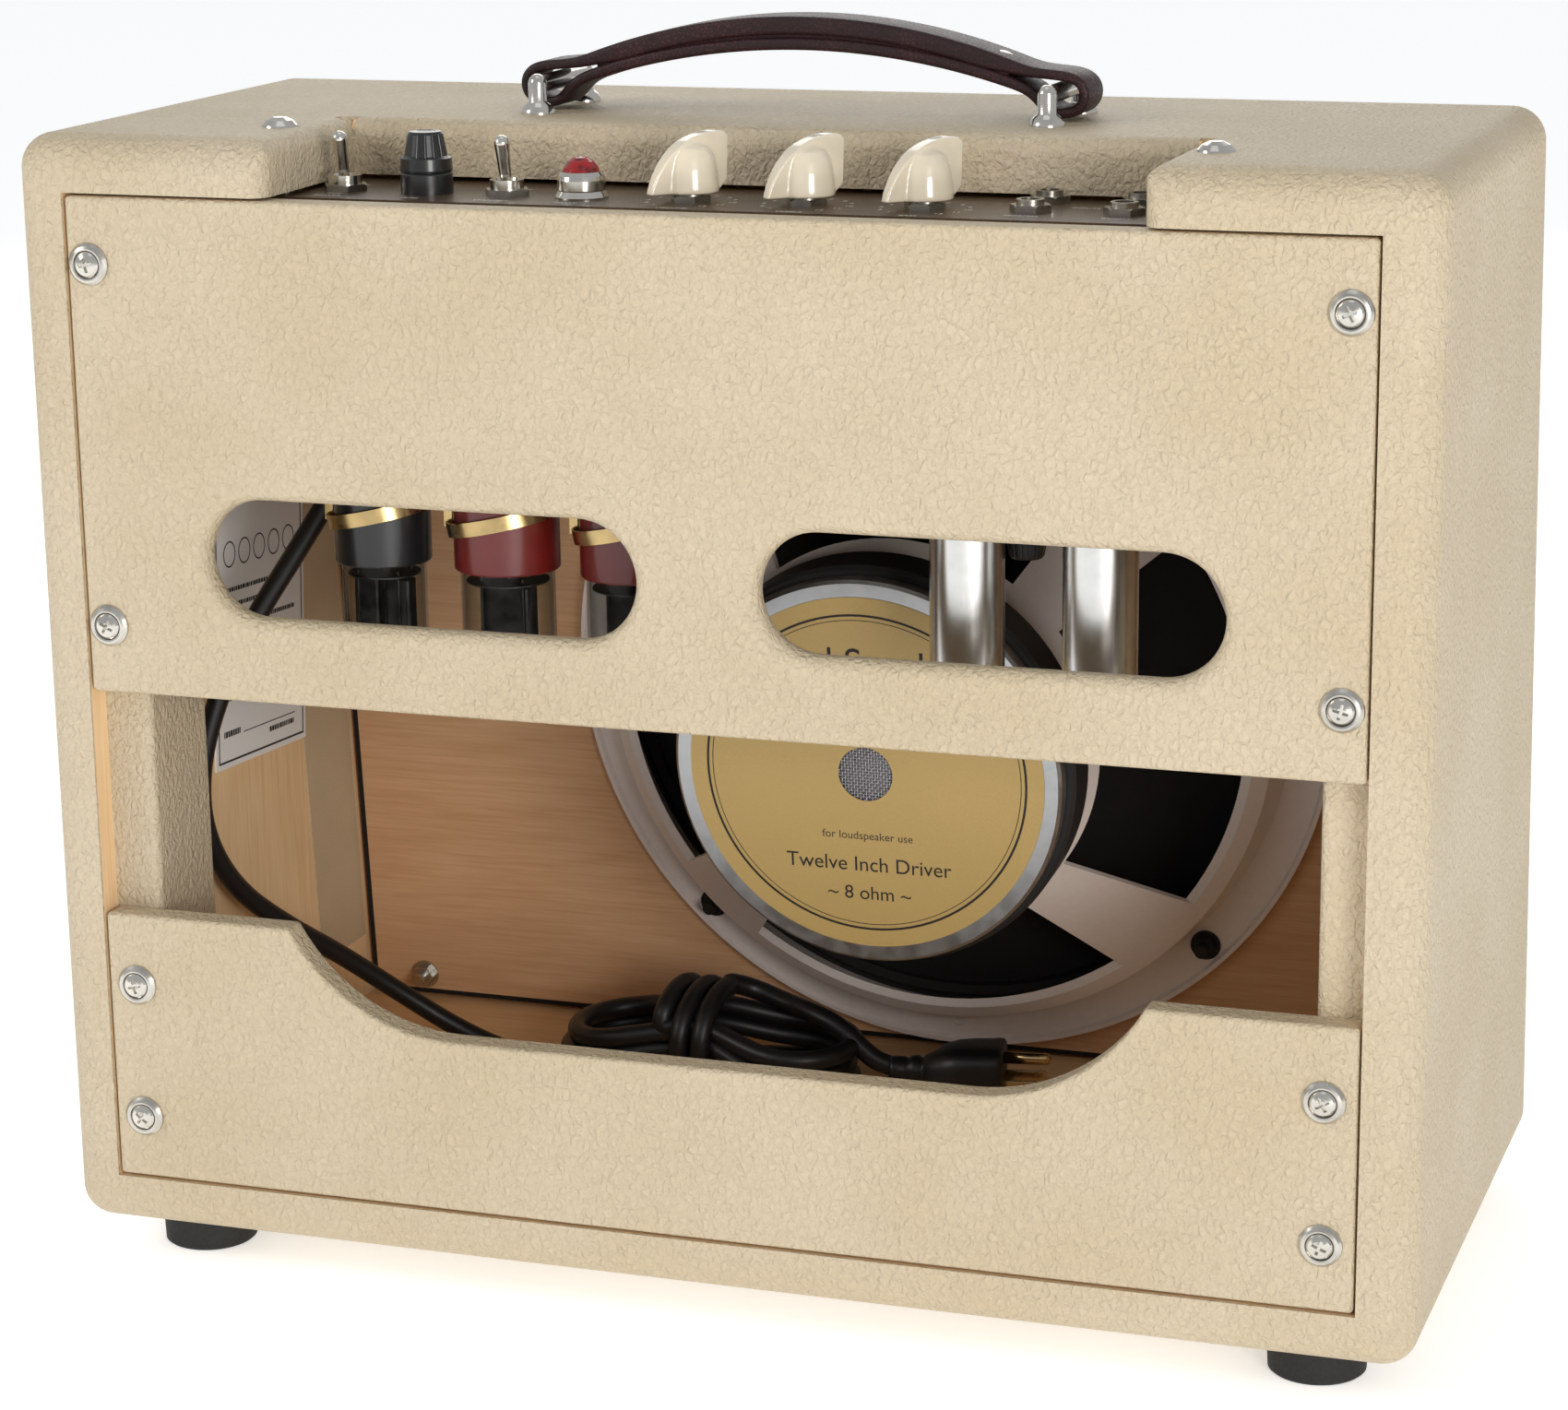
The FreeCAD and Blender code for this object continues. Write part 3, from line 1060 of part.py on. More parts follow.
def build():
    cabinet()
    feet()
    back_panels()
    baffle()
    speaker()
    chassis()
    nuts = switches() + fuses() + pilot_light() + pots() + jacks()
    add("panel_nuts", nuts)
    electronics()
    add("power_transformer", transformer(105.0, 96.0, 38.0, 80.0, 17.0))
    add("output_transformer", transformer(-70.0, 76.0, 26.0, 64.0, 15.0))
    sockets_and_tubes()
    handle()
    chart()
    mains_lead()


def export():
    os.makedirs("parts", exist_ok=True)
    for name, solids in parts.items():
        shape = Part.makeCompound(solids) if len(solids) > 1 else solids[0]
        shape.exportStep("parts/%s.step" % name)
    print(len(parts), "nodes")


build()
export()
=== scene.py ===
import math
import random
import bpy
import bmesh
from mathutils import Matrix, Vector


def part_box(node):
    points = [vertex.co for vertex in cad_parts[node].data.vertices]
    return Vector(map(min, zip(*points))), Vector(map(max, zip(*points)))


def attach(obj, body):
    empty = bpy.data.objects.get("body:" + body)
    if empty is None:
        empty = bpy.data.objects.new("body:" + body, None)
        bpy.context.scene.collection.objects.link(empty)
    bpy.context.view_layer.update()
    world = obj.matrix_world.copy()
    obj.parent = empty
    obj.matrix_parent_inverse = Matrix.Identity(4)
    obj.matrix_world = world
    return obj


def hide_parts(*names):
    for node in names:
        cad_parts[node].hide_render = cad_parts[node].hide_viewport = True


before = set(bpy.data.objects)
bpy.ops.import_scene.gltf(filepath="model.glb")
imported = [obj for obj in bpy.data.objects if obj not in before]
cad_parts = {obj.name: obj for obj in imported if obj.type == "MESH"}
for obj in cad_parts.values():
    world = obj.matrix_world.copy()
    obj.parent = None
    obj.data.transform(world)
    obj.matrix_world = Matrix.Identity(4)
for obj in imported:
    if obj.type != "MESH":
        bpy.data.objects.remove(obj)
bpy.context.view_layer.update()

# Open-back combo tube amplifier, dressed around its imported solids. Metres; the open back faces +Y.
mm = 0.001
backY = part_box("upper_back_panel")[1][1]
hankGap = 0.3 * mm
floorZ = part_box("power_cord_hank")[0][2] - hankGap      # the cabinet's inside floor
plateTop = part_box("faceplate")[1][2]
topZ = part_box("vinyl_covering")[1][2]
print("stage: frame loaded")

# the viewpoint, from the back and above
shot = {"fromBack": (-0.46871, 1.26845, 0.57835), "yaw": 18.512, "pitch": 15.166, "dip": 0.632,
        "lens": 92.63, "shift": (-0.0212, 0.0385), "sensor": 36, "clip": 0.05}


def placeCamera():
    yaw, pitch, dip = (math.radians(shot[k]) for k in ("yaw", "pitch", "dip"))
    ahead = Vector((math.sin(yaw) * math.cos(pitch), -math.cos(yaw) * math.cos(pitch), -math.sin(pitch)))
    side = ahead.cross(Vector((0, 0, 1))).normalized()
    up = side.cross(ahead)
    side, up = side * math.cos(dip) - up * math.sin(dip), up * math.cos(dip) + side * math.sin(dip)
    x, y, z = shot["fromBack"]
    turn = Matrix((side, up, -ahead)).transposed().to_4x4()
    data = bpy.data.cameras.new("camera")
    data.sensor_width = shot["sensor"]
    data.lens = shot["lens"]
    data.shift_x, data.shift_y = shot["shift"]
    data.clip_start = shot["clip"]
    camera = bpy.data.objects.new("camera", data)
    camera.matrix_world = Matrix.Translation((x, backY + y, z)) @ turn
    bpy.context.collection.objects.link(camera)
    bpy.context.scene.camera = camera


placeCamera()


# shader maths on sockets
class Wire:
    def __init__(self, look, socket):
        self.look, self.socket = look, socket

    def maths(self, operation, first, second):
        return self.look.add("ShaderNodeMath", {"operation": operation}, {0: first, 1: second})

    def __add__(self, other):
        return self.maths("ADD", self, other)

    def __radd__(self, other):
        return self.maths("ADD", other, self)

    def __rsub__(self, other):
        return self.maths("SUBTRACT", other, self)

    def __mul__(self, other):
        return self.maths("MULTIPLY", self, other)

    def __rmul__(self, other):
        return self.maths("MULTIPLY", other, self)


def paint(red, green, blue):
    # 0 to 255 as the eye sees it, to the linear values a shader takes
    parts = [v / 255 for v in (red, green, blue)]
    return tuple(v / 12.92 if v <= 0.04045 else ((v + 0.055) / 1.055) ** 2.4 for v in parts)


class Look:
    # one finish: fixed values go straight onto the shader's sockets, patterns are wired in by add()
    def __init__(self, name, colour, roughness=0.5, **fixed):
        self.material = bpy.data.materials.new(name)
        self.material.use_nodes = True
        self.tree = self.material.node_tree
        self.shader = self.tree.nodes["Principled BSDF"]
        self.material.diffuse_color = (*colour, 1)
        self.feed("Base Color", colour)
        self.feed("Roughness", roughness)
        for key, value in fixed.items():
            self.feed(key.replace("_", " "), value)

    def put(self, socket, value):
        if isinstance(value, Wire):
            self.tree.links.new(value.socket, socket)
        elif socket.type == "RGBA" and len(value) == 3:
            socket.default_value = (*value, 1)
        else:
            socket.default_value = value

    def feed(self, name, value):
        self.put(self.shader.inputs[name], value)

    def add(self, kind, settings=None, inputs=None, out=0):
        node = self.tree.nodes.new(kind)
        for key, value in (settings or {}).items():
            if key == "stops":
                ramp = node.color_ramp
                while len(ramp.elements) < len(value):
                    ramp.elements.new(0.5)
                for stop, (place, shade) in zip(ramp.elements, value):
                    stop.position = place
                    stop.color = (*shade, 1) if isinstance(shade, tuple) else (shade, shade, shade, 1)
            else:
                setattr(node, key, value)
        for key, value in (inputs or {}).items():
            self.put(node.inputs[key], value)
        return Wire(self, node.outputs[out])

    def place(self, stretch=(1, 1, 1), warp=0.0, warpSize=0.004):
        here = self.add("ShaderNodeTexCoord", out="Object")
        if warp:
            drift = self.add("ShaderNodeTexNoise", None,
                             {"Vector": here, "Scale": 1 / warpSize, "Detail": 2.0}, 1)
            centred = self.add("ShaderNodeVectorMath", {"operation": "SUBTRACT"},
                               {0: drift, 1: (0.5, 0.5, 0.5)})
            scaled = self.add("ShaderNodeVectorMath", {"operation": "SCALE"}, {0: centred, "Scale": warp})
            here = self.add("ShaderNodeVectorMath", {"operation": "ADD"}, {0: here, 1: scaled})
        if stretch == (1, 1, 1):
            return here
        return self.add("ShaderNodeMapping", None, {"Vector": here, "Scale": stretch})

    def noise(self, size, detail=2.0, where=None, roughness=0.5):
        # size is a feature's width in metres
        where = where or self.place()
        return self.add("ShaderNodeTexNoise", None,
                        {"Vector": where, "Scale": 1 / size, "Detail": detail, "Roughness": roughness})

    def cells(self, size, feature="DISTANCE_TO_EDGE", where=None):
        return self.add("ShaderNodeTexVoronoi", {"feature": feature},
                        {"Vector": where or self.place(), "Scale": 1 / size})

    def ramp(self, value, *stops):
        return self.add("ShaderNodeValToRGB", {"stops": stops}, {0: value})

    def blend(self, mask, first, second):
        return self.add("ShaderNodeMix", {"data_type": "RGBA"}, {0: mask, 6: first, 7: second}, 2)

    def bump(self, height, depth, strength=1.0):
        # depth in metres
        self.feed("Normal", self.add("ShaderNodeBump", None,
                                     {"Height": height, "Distance": depth, "Strength": strength}))


covering = {"grain": 0.0027, "crease": 0.3, "depth": 0.0016, "strength": 0.8,
            "warp": 0.0034, "warpSize": 0.0032,
            "warm": paint(194, 178, 149), "pale": paint(200, 185, 159), "shade": paint(170, 152, 123)}


def leatherCloth():
    # pebbled covering: soft creases between irregular grains, with painted shade darkening the creases and
    # low folds
    c = covering
    look = Look("creamCovering", c["pale"], 0.56)
    where = look.place((1, 1, 0.7), c["warp"], c["warpSize"])
    crease = look.ramp(look.cells(c["grain"], where=where), (0.0, 0.0), (c["crease"], 1.0))
    fold = look.noise(c["grain"] * 0.9, 3.0, where, 0.55)
    cloud = look.noise(0.07, 2.0)
    tone = look.blend(look.ramp(cloud, (0.35, 0.0), (0.65, 1.0)), c["warm"], c["pale"])
    # painted shade: the creases and low folds blend towards the shade colour, over a random warm-to-pale tone
    look.feed("Base Color", look.blend(crease * 0.14 + fold * 0.3 + 0.7, c["shade"], tone))
    look.feed("Roughness", 0.6 - 0.1 * crease)
    look.bump(crease * 0.28 + fold * 1.1, c["depth"], c["strength"])
    return look


def timber(name, along, light, dark, streak=0.0016):
    # planed board with its grain along one axis
    look = Look(name, light, 0.6)
    run = tuple(0.035 if k == along else 1.0 for k in range(3))
    bow = tuple(0.12 if k == along else 1.0 for k in range(3))
    fibres = look.noise(streak, 3.0, look.place(run), 0.65)
    rings = look.add("ShaderNodeTexNoise", None, {"Vector": look.place(bow), "Scale": 26.0, "Detail": 1.5,
                                                  "Distortion": 0.8})
    bands = look.ramp(look.add("ShaderNodeMath", {"operation": "FRACT"}, {0: rings * 7.0}),
                      (0.0, 0.35), (0.55, 1.0), (0.9, 0.55), (1.0, 0.35))
    patch = look.ramp(look.noise(0.11, 2.0), (0.3, 0.0), (0.7, 1.0))
    figure = look.ramp(fibres, (0.32, 0.0), (0.62, 1.0)) * 0.45 + bands * 0.35 + patch * 0.2
    look.feed("Base Color", look.blend(figure, dark, light))
    look.feed("Roughness", 0.68 - 0.12 * fibres)
    look.bump(fibres, 0.00012, 0.6)
    return look


def metal(name, colour, roughness, brushed=None, wear=0.0):
    # plated or bare metal; brushed names the axis that the fine scratches run along
    look = Look(name, colour, roughness, Metallic=1.0)
    smudge = look.noise(0.006, 3.0)
    if brushed is not None:
        run = tuple(0.02 if k == brushed else 1.0 for k in range(3))
        lines = look.noise(0.0005, 2.0, look.place(run), 0.7)
        look.feed("Roughness", roughness * 0.7 + lines * (roughness * 0.6))
        look.bump(lines, 0.00003, 0.5)
    else:
        look.feed("Roughness", roughness * 0.6 + smudge * (roughness * 0.8))
        look.bump(smudge, 0.00004, 0.25)
    dull = tuple(c * (1 - wear) for c in colour)
    look.feed("Base Color", look.blend(look.ramp(smudge, (0.35, 0.0), (0.6, 1.0)), dull, colour))
    return look


def moulded(name, colour, roughness, depth=0.00003, size=0.0012, coat=0.0):
    # plastic, rubber or phenolic with a fine moulded skin
    look = Look(name, colour, roughness, Coat_Weight=coat)
    skin = look.noise(size, 3.0)
    film = look.noise(0.02, 2.0)
    low = tuple(c * 0.78 for c in colour)
    look.feed("Base Color", look.blend(look.ramp(film, (0.3, 0.0), (0.7, 1.0)), low, colour))
    look.feed("Roughness", roughness * 0.82 + skin * (roughness * 0.36))
    look.bump(skin, depth, 0.6)
    return look


def fibrous(name, colour, roughness, size=0.0008, depth=0.0001, contrast=0.3):
    # paper, card, felt, pressed pulp and cast surfaces
    look = Look(name, colour, roughness)
    fuzz = look.noise(size, 4.0, roughness=0.7)
    cloud = look.noise(0.012, 2.0)
    low = tuple(c * (1 - contrast) for c in colour)
    mask = look.ramp(fuzz, (0.3, 0.0), (0.65, 1.0)) * 0.7 + cloud * 0.3
    look.feed("Base Color", look.blend(mask, low, colour))
    look.bump(fuzz, depth, 0.7)
    return look


def panelEnamel():
    # dark brown enamel with a fine golden fleck
    look = Look("brownEnamel", paint(70, 51, 33), 0.34, Coat_Weight=0.25)
    fleck = look.ramp(look.noise(0.0007, 3.0, roughness=0.8), (0.52, 0.0), (0.72, 1.0))
    cloud = look.ramp(look.noise(0.02), (0.3, 0.0), (0.7, 1.0))
    ground = look.blend(cloud, paint(58, 42, 28), paint(78, 58, 38))
    look.feed("Base Color", look.blend(fleck * 0.6, ground, paint(134, 108, 70)))
    look.feed("Roughness", 0.42 - 0.12 * fleck)
    return look


def clearGlass():
    # thin clear glass: mostly see-through, with its shine at the edges
    look = Look("bulbGlass", (0.012, 0.013, 0.013), 0.03, Coat_Weight=1.0)
    clear = look.add("ShaderNodeBsdfTransparent", None, {"Color": (0.97, 0.98, 0.97)})
    facing = look.add("ShaderNodeLayerWeight", None, {"Blend": 0.3}, 1)
    haze = look.noise(0.01, 3.0)
    amount = facing * 0.55 + haze * 0.08 + 0.012
    gloss = Wire(look, look.shader.outputs[0])
    joined = look.add("ShaderNodeMixShader", None, {0: amount, 1: clear, 2: gloss})
    look.put(look.tree.nodes["Material Output"].inputs["Surface"], joined)
    return look


def grilleWeave():
    # two crossing threads, pale ones catching the light
    look = Look("grilleWeave", paint(140, 116, 78), 0.75)
    here = look.place()
    across = look.add("ShaderNodeTexWave", {"bands_direction": "X"}, {"Vector": here, "Scale": 260.0})
    up = look.add("ShaderNodeTexWave", {"bands_direction": "Z"}, {"Vector": here, "Scale": 260.0})
    cross = across * up
    broad = look.add("ShaderNodeTexWave", {"bands_direction": "X"}, {"Vector": here, "Scale": 26.0})
    stripe = look.ramp(broad, (0.62, 0.0), (0.75, 1.0))
    base = look.blend(cross, paint(92, 70, 46), paint(176, 150, 104))
    look.feed("Base Color", look.blend(stripe * 0.4, base, paint(206, 186, 142)))
    look.bump(cross + look.noise(0.0007) * 0.3, 0.0004, 0.8)
    return look


def strapLeather():
    look = Look("burgundyLeather", paint(52, 24, 27), 0.45, Specular_IOR_Level=0.35)
    crease = look.ramp(look.cells(0.0016, where=look.place((1, 1, 1), warp=0.001, warpSize=0.002)),
                       (0.0, 0.0), (0.3, 1.0))
    worn = look.ramp(look.noise(0.03, 3.0), (0.4, 0.0), (0.75, 1.0))
    tone = look.blend(worn, paint(44, 19, 22), paint(74, 38, 38))
    # painted shade: the creases between the grains are darkened to near black, over a random worn tone
    look.feed("Base Color", look.blend(crease, paint(30, 12, 15), tone))
    look.feed("Roughness", 0.56 - 0.14 * crease)
    look.bump(crease * 0.6 + look.noise(0.0006) * 0.4, 0.00016, 0.5)
    return look


def jewelGlass():
    look = Look("redJewel", paint(120, 4, 10), 0.12, Coat_Weight=0.4)
    facets = look.cells(0.0035, "F1")
    shine = look.ramp(facets, (0.1, 0.0), (0.5, 1.0))
    look.feed("Base Color", look.blend(shine, paint(70, 2, 6), paint(150, 8, 14)))
    look.bump(facets, 0.0004, 0.6)
    return look


def boltHeads():
    # blacked bolts round the speaker's rim, bright ones at the corners of the baffle
    look = metal("baffleBolts", paint(196, 194, 188), 0.25, wear=0.15)
    away = look.add("ShaderNodeVectorMath", {"operation": "DISTANCE"},
                    {0: look.place(), 1: (speakerAt["x"], speakerAt["y"], speakerAt["z"])}, 1)
    near = look.add("ShaderNodeMath", {"operation": "LESS_THAN"}, {0: away, 1: speakerAt["reach"]})
    rough = look.noise(0.002)
    look.feed("Base Color", look.blend(near, paint(196, 194, 188), paint(16, 15, 15)))
    look.feed("Metallic", 1 - near)
    look.feed("Roughness", 0.2 + near * 0.35 + rough * 0.1)
    return look


def threadedParts():
    # brown phenolic bodies below the panel, plated bushings above it
    look = moulded("jackBodies", paint(66, 44, 30), 0.5)
    height = look.add("ShaderNodeSeparateXYZ", None, {0: look.place()}, 2)
    above = look.add("ShaderNodeMath", {"operation": "GREATER_THAN"}, {0: height, 1: plateTop - 0.0035})
    smudge = look.noise(0.004)
    look.feed("Base Color", look.blend(above, paint(66, 44, 30), paint(172, 168, 160)))
    look.feed("Metallic", above * 1.0)
    look.feed("Roughness", 0.5 - above * 0.24 + smudge * 0.08)
    return look


# where the blacked bolts are: round the speaker's middle, within its reach
speakerAt = {"x": -0.029, "y": -0.089, "z": 0.195, "reach": 0.165}
grainX, grainZ = 0, 2
# each finish with the solids that it covers
finishes = [
    (leatherCloth(), ("vinyl_covering", "upper_back_panel", "lower_back_panel", "cleats")),
    (timber("sideBoardPine", grainZ, paint(244, 214, 170), paint(222, 180, 130)), ("side_boards",)),
    (timber("shelfPine", grainX, paint(242, 208, 162), paint(216, 172, 122)), ("top_board", "bottom_board")),
    (timber("bafflePly", grainX, paint(226, 184, 142), paint(200, 150, 108), 0.0012), ("baffle_board",)),
    (fibrous("stripFelt", paint(212, 190, 156), 0.85, 0.0006), ("side_strips",)),
    (boltHeads(), ("baffle_bolts",)),
    (metal("zincPlate", paint(186, 186, 182), 0.35, wear=0.15), ("foot_screws",)),
    (metal("nickelPlate", paint(214, 210, 202), 0.16, wear=0.12),
     ("back_panel_screws", "chassis_bolts", "toggle_switch_bodies", "power_switch_lever",
      "standby_switch_lever", "pilot_bezel", "handle_brackets")),
    (metal("nutNickel", paint(176, 172, 164), 0.24, wear=0.18), ("panel_nuts",)),
    (metal("washerNickel", paint(206, 202, 194), 0.24, wear=0.18), ("cup_washers",)),
    (moulded("footRubber", paint(30, 29, 28), 0.75, 0.0001), ("rubber_feet",)),
    (metal("chassisSteel", paint(178, 178, 172), 0.42, brushed=grainX, wear=0.12), ("chassis",)),
    (panelEnamel(), ("faceplate",)),
    (moulded("blackMoulding", paint(26, 27, 29), 0.3, coat=0.25),
     ("fuse_holders", "mains_fuse_cap", "ht_fuse_cap", "rectifier_base")),
    (moulded("brownPhenolic", paint(66, 44, 30), 0.5), ("tube_sockets",)),
    (threadedParts(), ("potentiometers", "input_jacks")),
    (jewelGlass(), ("pilot_jewel",)),
    (moulded("redPhenolic", paint(112, 26, 22), 0.35, coat=0.3), ("power_tube_bases",)),
    (metal("springSteel", paint(196, 170, 120), 0.26, wear=0.2), ("tube_retainers",)),
    (clearGlass(), ("tube_envelopes", "pilot_lamp", "mains_fuse", "ht_fuse")),
    (metal("plateMetal", paint(84, 82, 82), 0.45, wear=0.5), ("tube_electrodes",)),
    (metal("shieldAluminium", paint(214, 214, 212), 0.24, brushed=grainZ, wear=0.08), ("tube_shields",)),
    (fibrous("basketPaint", paint(236, 226, 220), 0.4, 0.003, 0.00005, 0.06), ("speaker_basket",)),
    (fibrous("ferrite", paint(34, 33, 34), 0.6, 0.0006, 0.00012, 0.3), ("speaker_magnet",)),
    (metal("magnetPlate", paint(182, 184, 186), 0.4, wear=0.15), ("speaker_back_plate",)),
    (fibrous("goldCard", paint(190, 160, 98), 0.5, 0.0009, 0.00003, 0.1), ("magnet_label",)),
    (fibrous("conePulp", paint(22, 21, 21), 0.9, 0.0007, 0.0002, 0.4), ("speaker_cone",)),
    (fibrous("dopedCloth", paint(26, 24, 22), 0.7, 0.0011, 0.0002, 0.3), ("speaker_suspension",)),
    (fibrous("chartPaper", paint(238, 237, 234), 0.7, 0.0006, 0.00003, 0.06), ("tube_chart",)),
    (moulded("leadRubber", paint(24, 23, 24), 0.42, 0.00005), ("strain_relief",)),
    (fibrous("fibreBoard", paint(60, 46, 36), 0.7, 0.0008, 0.00008, 0.3), ("circuit_board",)),
    (moulded("componentBodies", paint(176, 120, 52), 0.4), ("board_components",)),
    (metal("canAluminium", paint(196, 196, 194), 0.35, wear=0.1), ("filter_capacitors",)),
    (moulded("coreEnamel", paint(24, 24, 26), 0.35, 0.00008, coat=0.2),
     ("power_transformer", "output_transformer")),
]
looks = {}
for finish, nodes in finishes:
    looks[finish.material.name] = finish.material
    for node in nodes:
        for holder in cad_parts[node].material_slots:
            holder.link = "OBJECT"
            holder.material = finish.material
looks["ivory"] = moulded("ivoryPlastic", paint(232, 220, 196), 0.2, 0.00001, coat=0.6).material
looks["strap"] = strapLeather().material
looks["weave"] = grilleWeave().material
looks["ink"] = fibrous("printersInk", paint(38, 32, 28), 0.7).material
looks["whiteInk"] = fibrous("panelInk", paint(232, 230, 222), 0.5, contrast=0.1).material
looks["getter"] = metal("getterMirror", paint(150, 150, 156), 0.12, wear=0.3).material
looks["brass"] = metal("bladeBrass", paint(206, 178, 130), 0.25, wear=0.15).material
looks["meshWire"] = metal("meshWire", paint(196, 194, 198), 0.5).material
print("stage: finishes")


def addPiece(name, mesh, look, body, smooth=True):
    piece = bpy.data.objects.new(name, mesh)
    bpy.context.collection.objects.link(piece)
    mesh.materials.append(looks[look])
    for face in mesh.polygons:
        face.use_smooth = smooth
    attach(piece, body)
    return piece


def meshFrom(name, bm):
    bmesh.ops.recalc_face_normals(bm, faces=bm.faces)
    mesh = bpy.data.meshes.new(name)
    bm.to_mesh(mesh)
    bm.free()
    return mesh


def settle(piece, *modifiers):
    # adds each modifier, sets it and leaves its result in the mesh
    for kind, values in modifiers:
        modifier = piece.modifiers.new(kind, kind)
        for key, value in values.items():
            setattr(modifier, key, value)
    bpy.context.view_layer.update()
    result = bpy.data.meshes.new_from_object(piece.evaluated_get(bpy.context.evaluated_depsgraph_get()))
    piece.modifiers.clear()
    piece.data = result
    for face in result.polygons:
        face.use_smooth = True
    return piece


def addBlock(bm, low, high, turn=None):
    corners = [Vector((x, y, z)) for x in (low[0], high[0])
               for y in (low[1], high[1]) for z in (low[2], high[2])]
    spots = [bm.verts.new(turn @ c if turn else c) for c in corners]
    for k in ((0, 1, 3, 2), (4, 6, 7, 5), (0, 4, 5, 1), (2, 3, 7, 6), (0, 2, 6, 4), (1, 5, 7, 3)):
        bm.faces.new([spots[i] for i in k])


def addLathe(bm, profile, turn, steps=40):
    # profile of (radius, height) pairs turned about the frame's own Z
    rows = []
    for radius, height in profile:
        if radius < 1e-7:
            rows.append([bm.verts.new(turn @ Vector((0, 0, height)))])
            continue
        rows.append([bm.verts.new(turn @ Vector((radius * math.cos(2 * math.pi * k / steps),
                                                radius * math.sin(2 * math.pi * k / steps), height)))
                     for k in range(steps)])
    for a, b in zip(rows, rows[1:]):
        for k in range(steps):
            n = (k + 1) % steps
            ring = [a[k % len(a)], a[n % len(a)], b[n % len(b)], b[k % len(b)]]
            unique = list(dict.fromkeys(ring))
            if len(unique) > 2:
                bm.faces.new(unique)


# the strap handle: a stitched band round both crossbars, with the filling set in a little
handle = {"y": -129.0, "width": 22.0, "span": 96.0, "reach": 4.0, "tuck": 4.2, "join": 86.0,
          "rise": 35.4, "middle": 12.0,
          "loopZ": 9.4, "loopRadius": 8.4, "shoulderTop": 19.0, "shoulderLow": 9.0,
          "thin": 3.6, "top": 6.6, "under": 4.4, "inset": 1.3, "edge": 1.5, "count": 260, "soften": 7,
          "fullTo": 66, "thinFrom": 92, "fillTo": 78, "lap": 2.0, "steps": 60,
          "rivets": ((74, 14.6, True), (-74, 14.6, True), (74, 22.6, False), (-74, 22.6, False)),
          "rivetLean": 14,
          "rivet": ((0, 1.1), (1.4, 1.0), (2.8, 0.6), (3.4, 0.1), (3.4, -1.6), (0, -1.6))}


def arcThrough(x1, z1, z0, count):
    # circle through (-x1, z1), (0, z0), (x1, z1)
    drop = z0 - z1
    radius = (x1 * x1 + drop * drop) / (2 * drop)
    half = math.asin(x1 / radius)
    return [(radius * math.sin(a), z0 - radius + radius * math.cos(a))
            for a in (half * (2 * k / count - 1) for k in range(count + 1))]


def strapOutline():
    h = handle
    top = arcThrough(h["join"], h["shoulderTop"], h["rise"], h["steps"])
    low = arcThrough(h["join"], h["shoulderLow"], h["rise"] - h["middle"], h["steps"])
    outer, r = h["span"] + h["reach"], h["loopRadius"]
    right = [(outer + r * math.sin(a), h["loopZ"] + r * math.cos(a))
             for a in (math.pi * k / 24 for k in range(25))]
    right += [(h["span"] - h["tuck"], h["loopZ"] - r)]
    left = [(-x, z) for x, z in reversed(right)]
    ring = top + right + low[::-1] + left
    lengths = [0.0]
    for a, b in zip(ring, ring[1:] + ring[:1]):
        lengths.append(lengths[-1] + math.dist(a, b))
    even, k = [], 0
    for step in range(h["count"]):
        at = lengths[-1] * step / h["count"]
        while lengths[k + 1] < at:
            k += 1
        share = (at - lengths[k]) / max(1e-9, lengths[k + 1] - lengths[k])
        a, b = ring[k], ring[(k + 1) % len(ring)]
        even.append((a[0] + (b[0] - a[0]) * share, a[1] + (b[1] - a[1]) * share))
    for _ in range(h["soften"]):
        even = [tuple((even[i - 1][k] + 2 * even[i][k] + even[(i + 1) % len(even)][k]) / 4 for k in (0, 1))
                for i in range(len(even))]
    return even


def ease(value, low, high):
    share = min(1.0, max(0.0, (value - low) / (high - low)))
    return share * share * (3 - 2 * share)


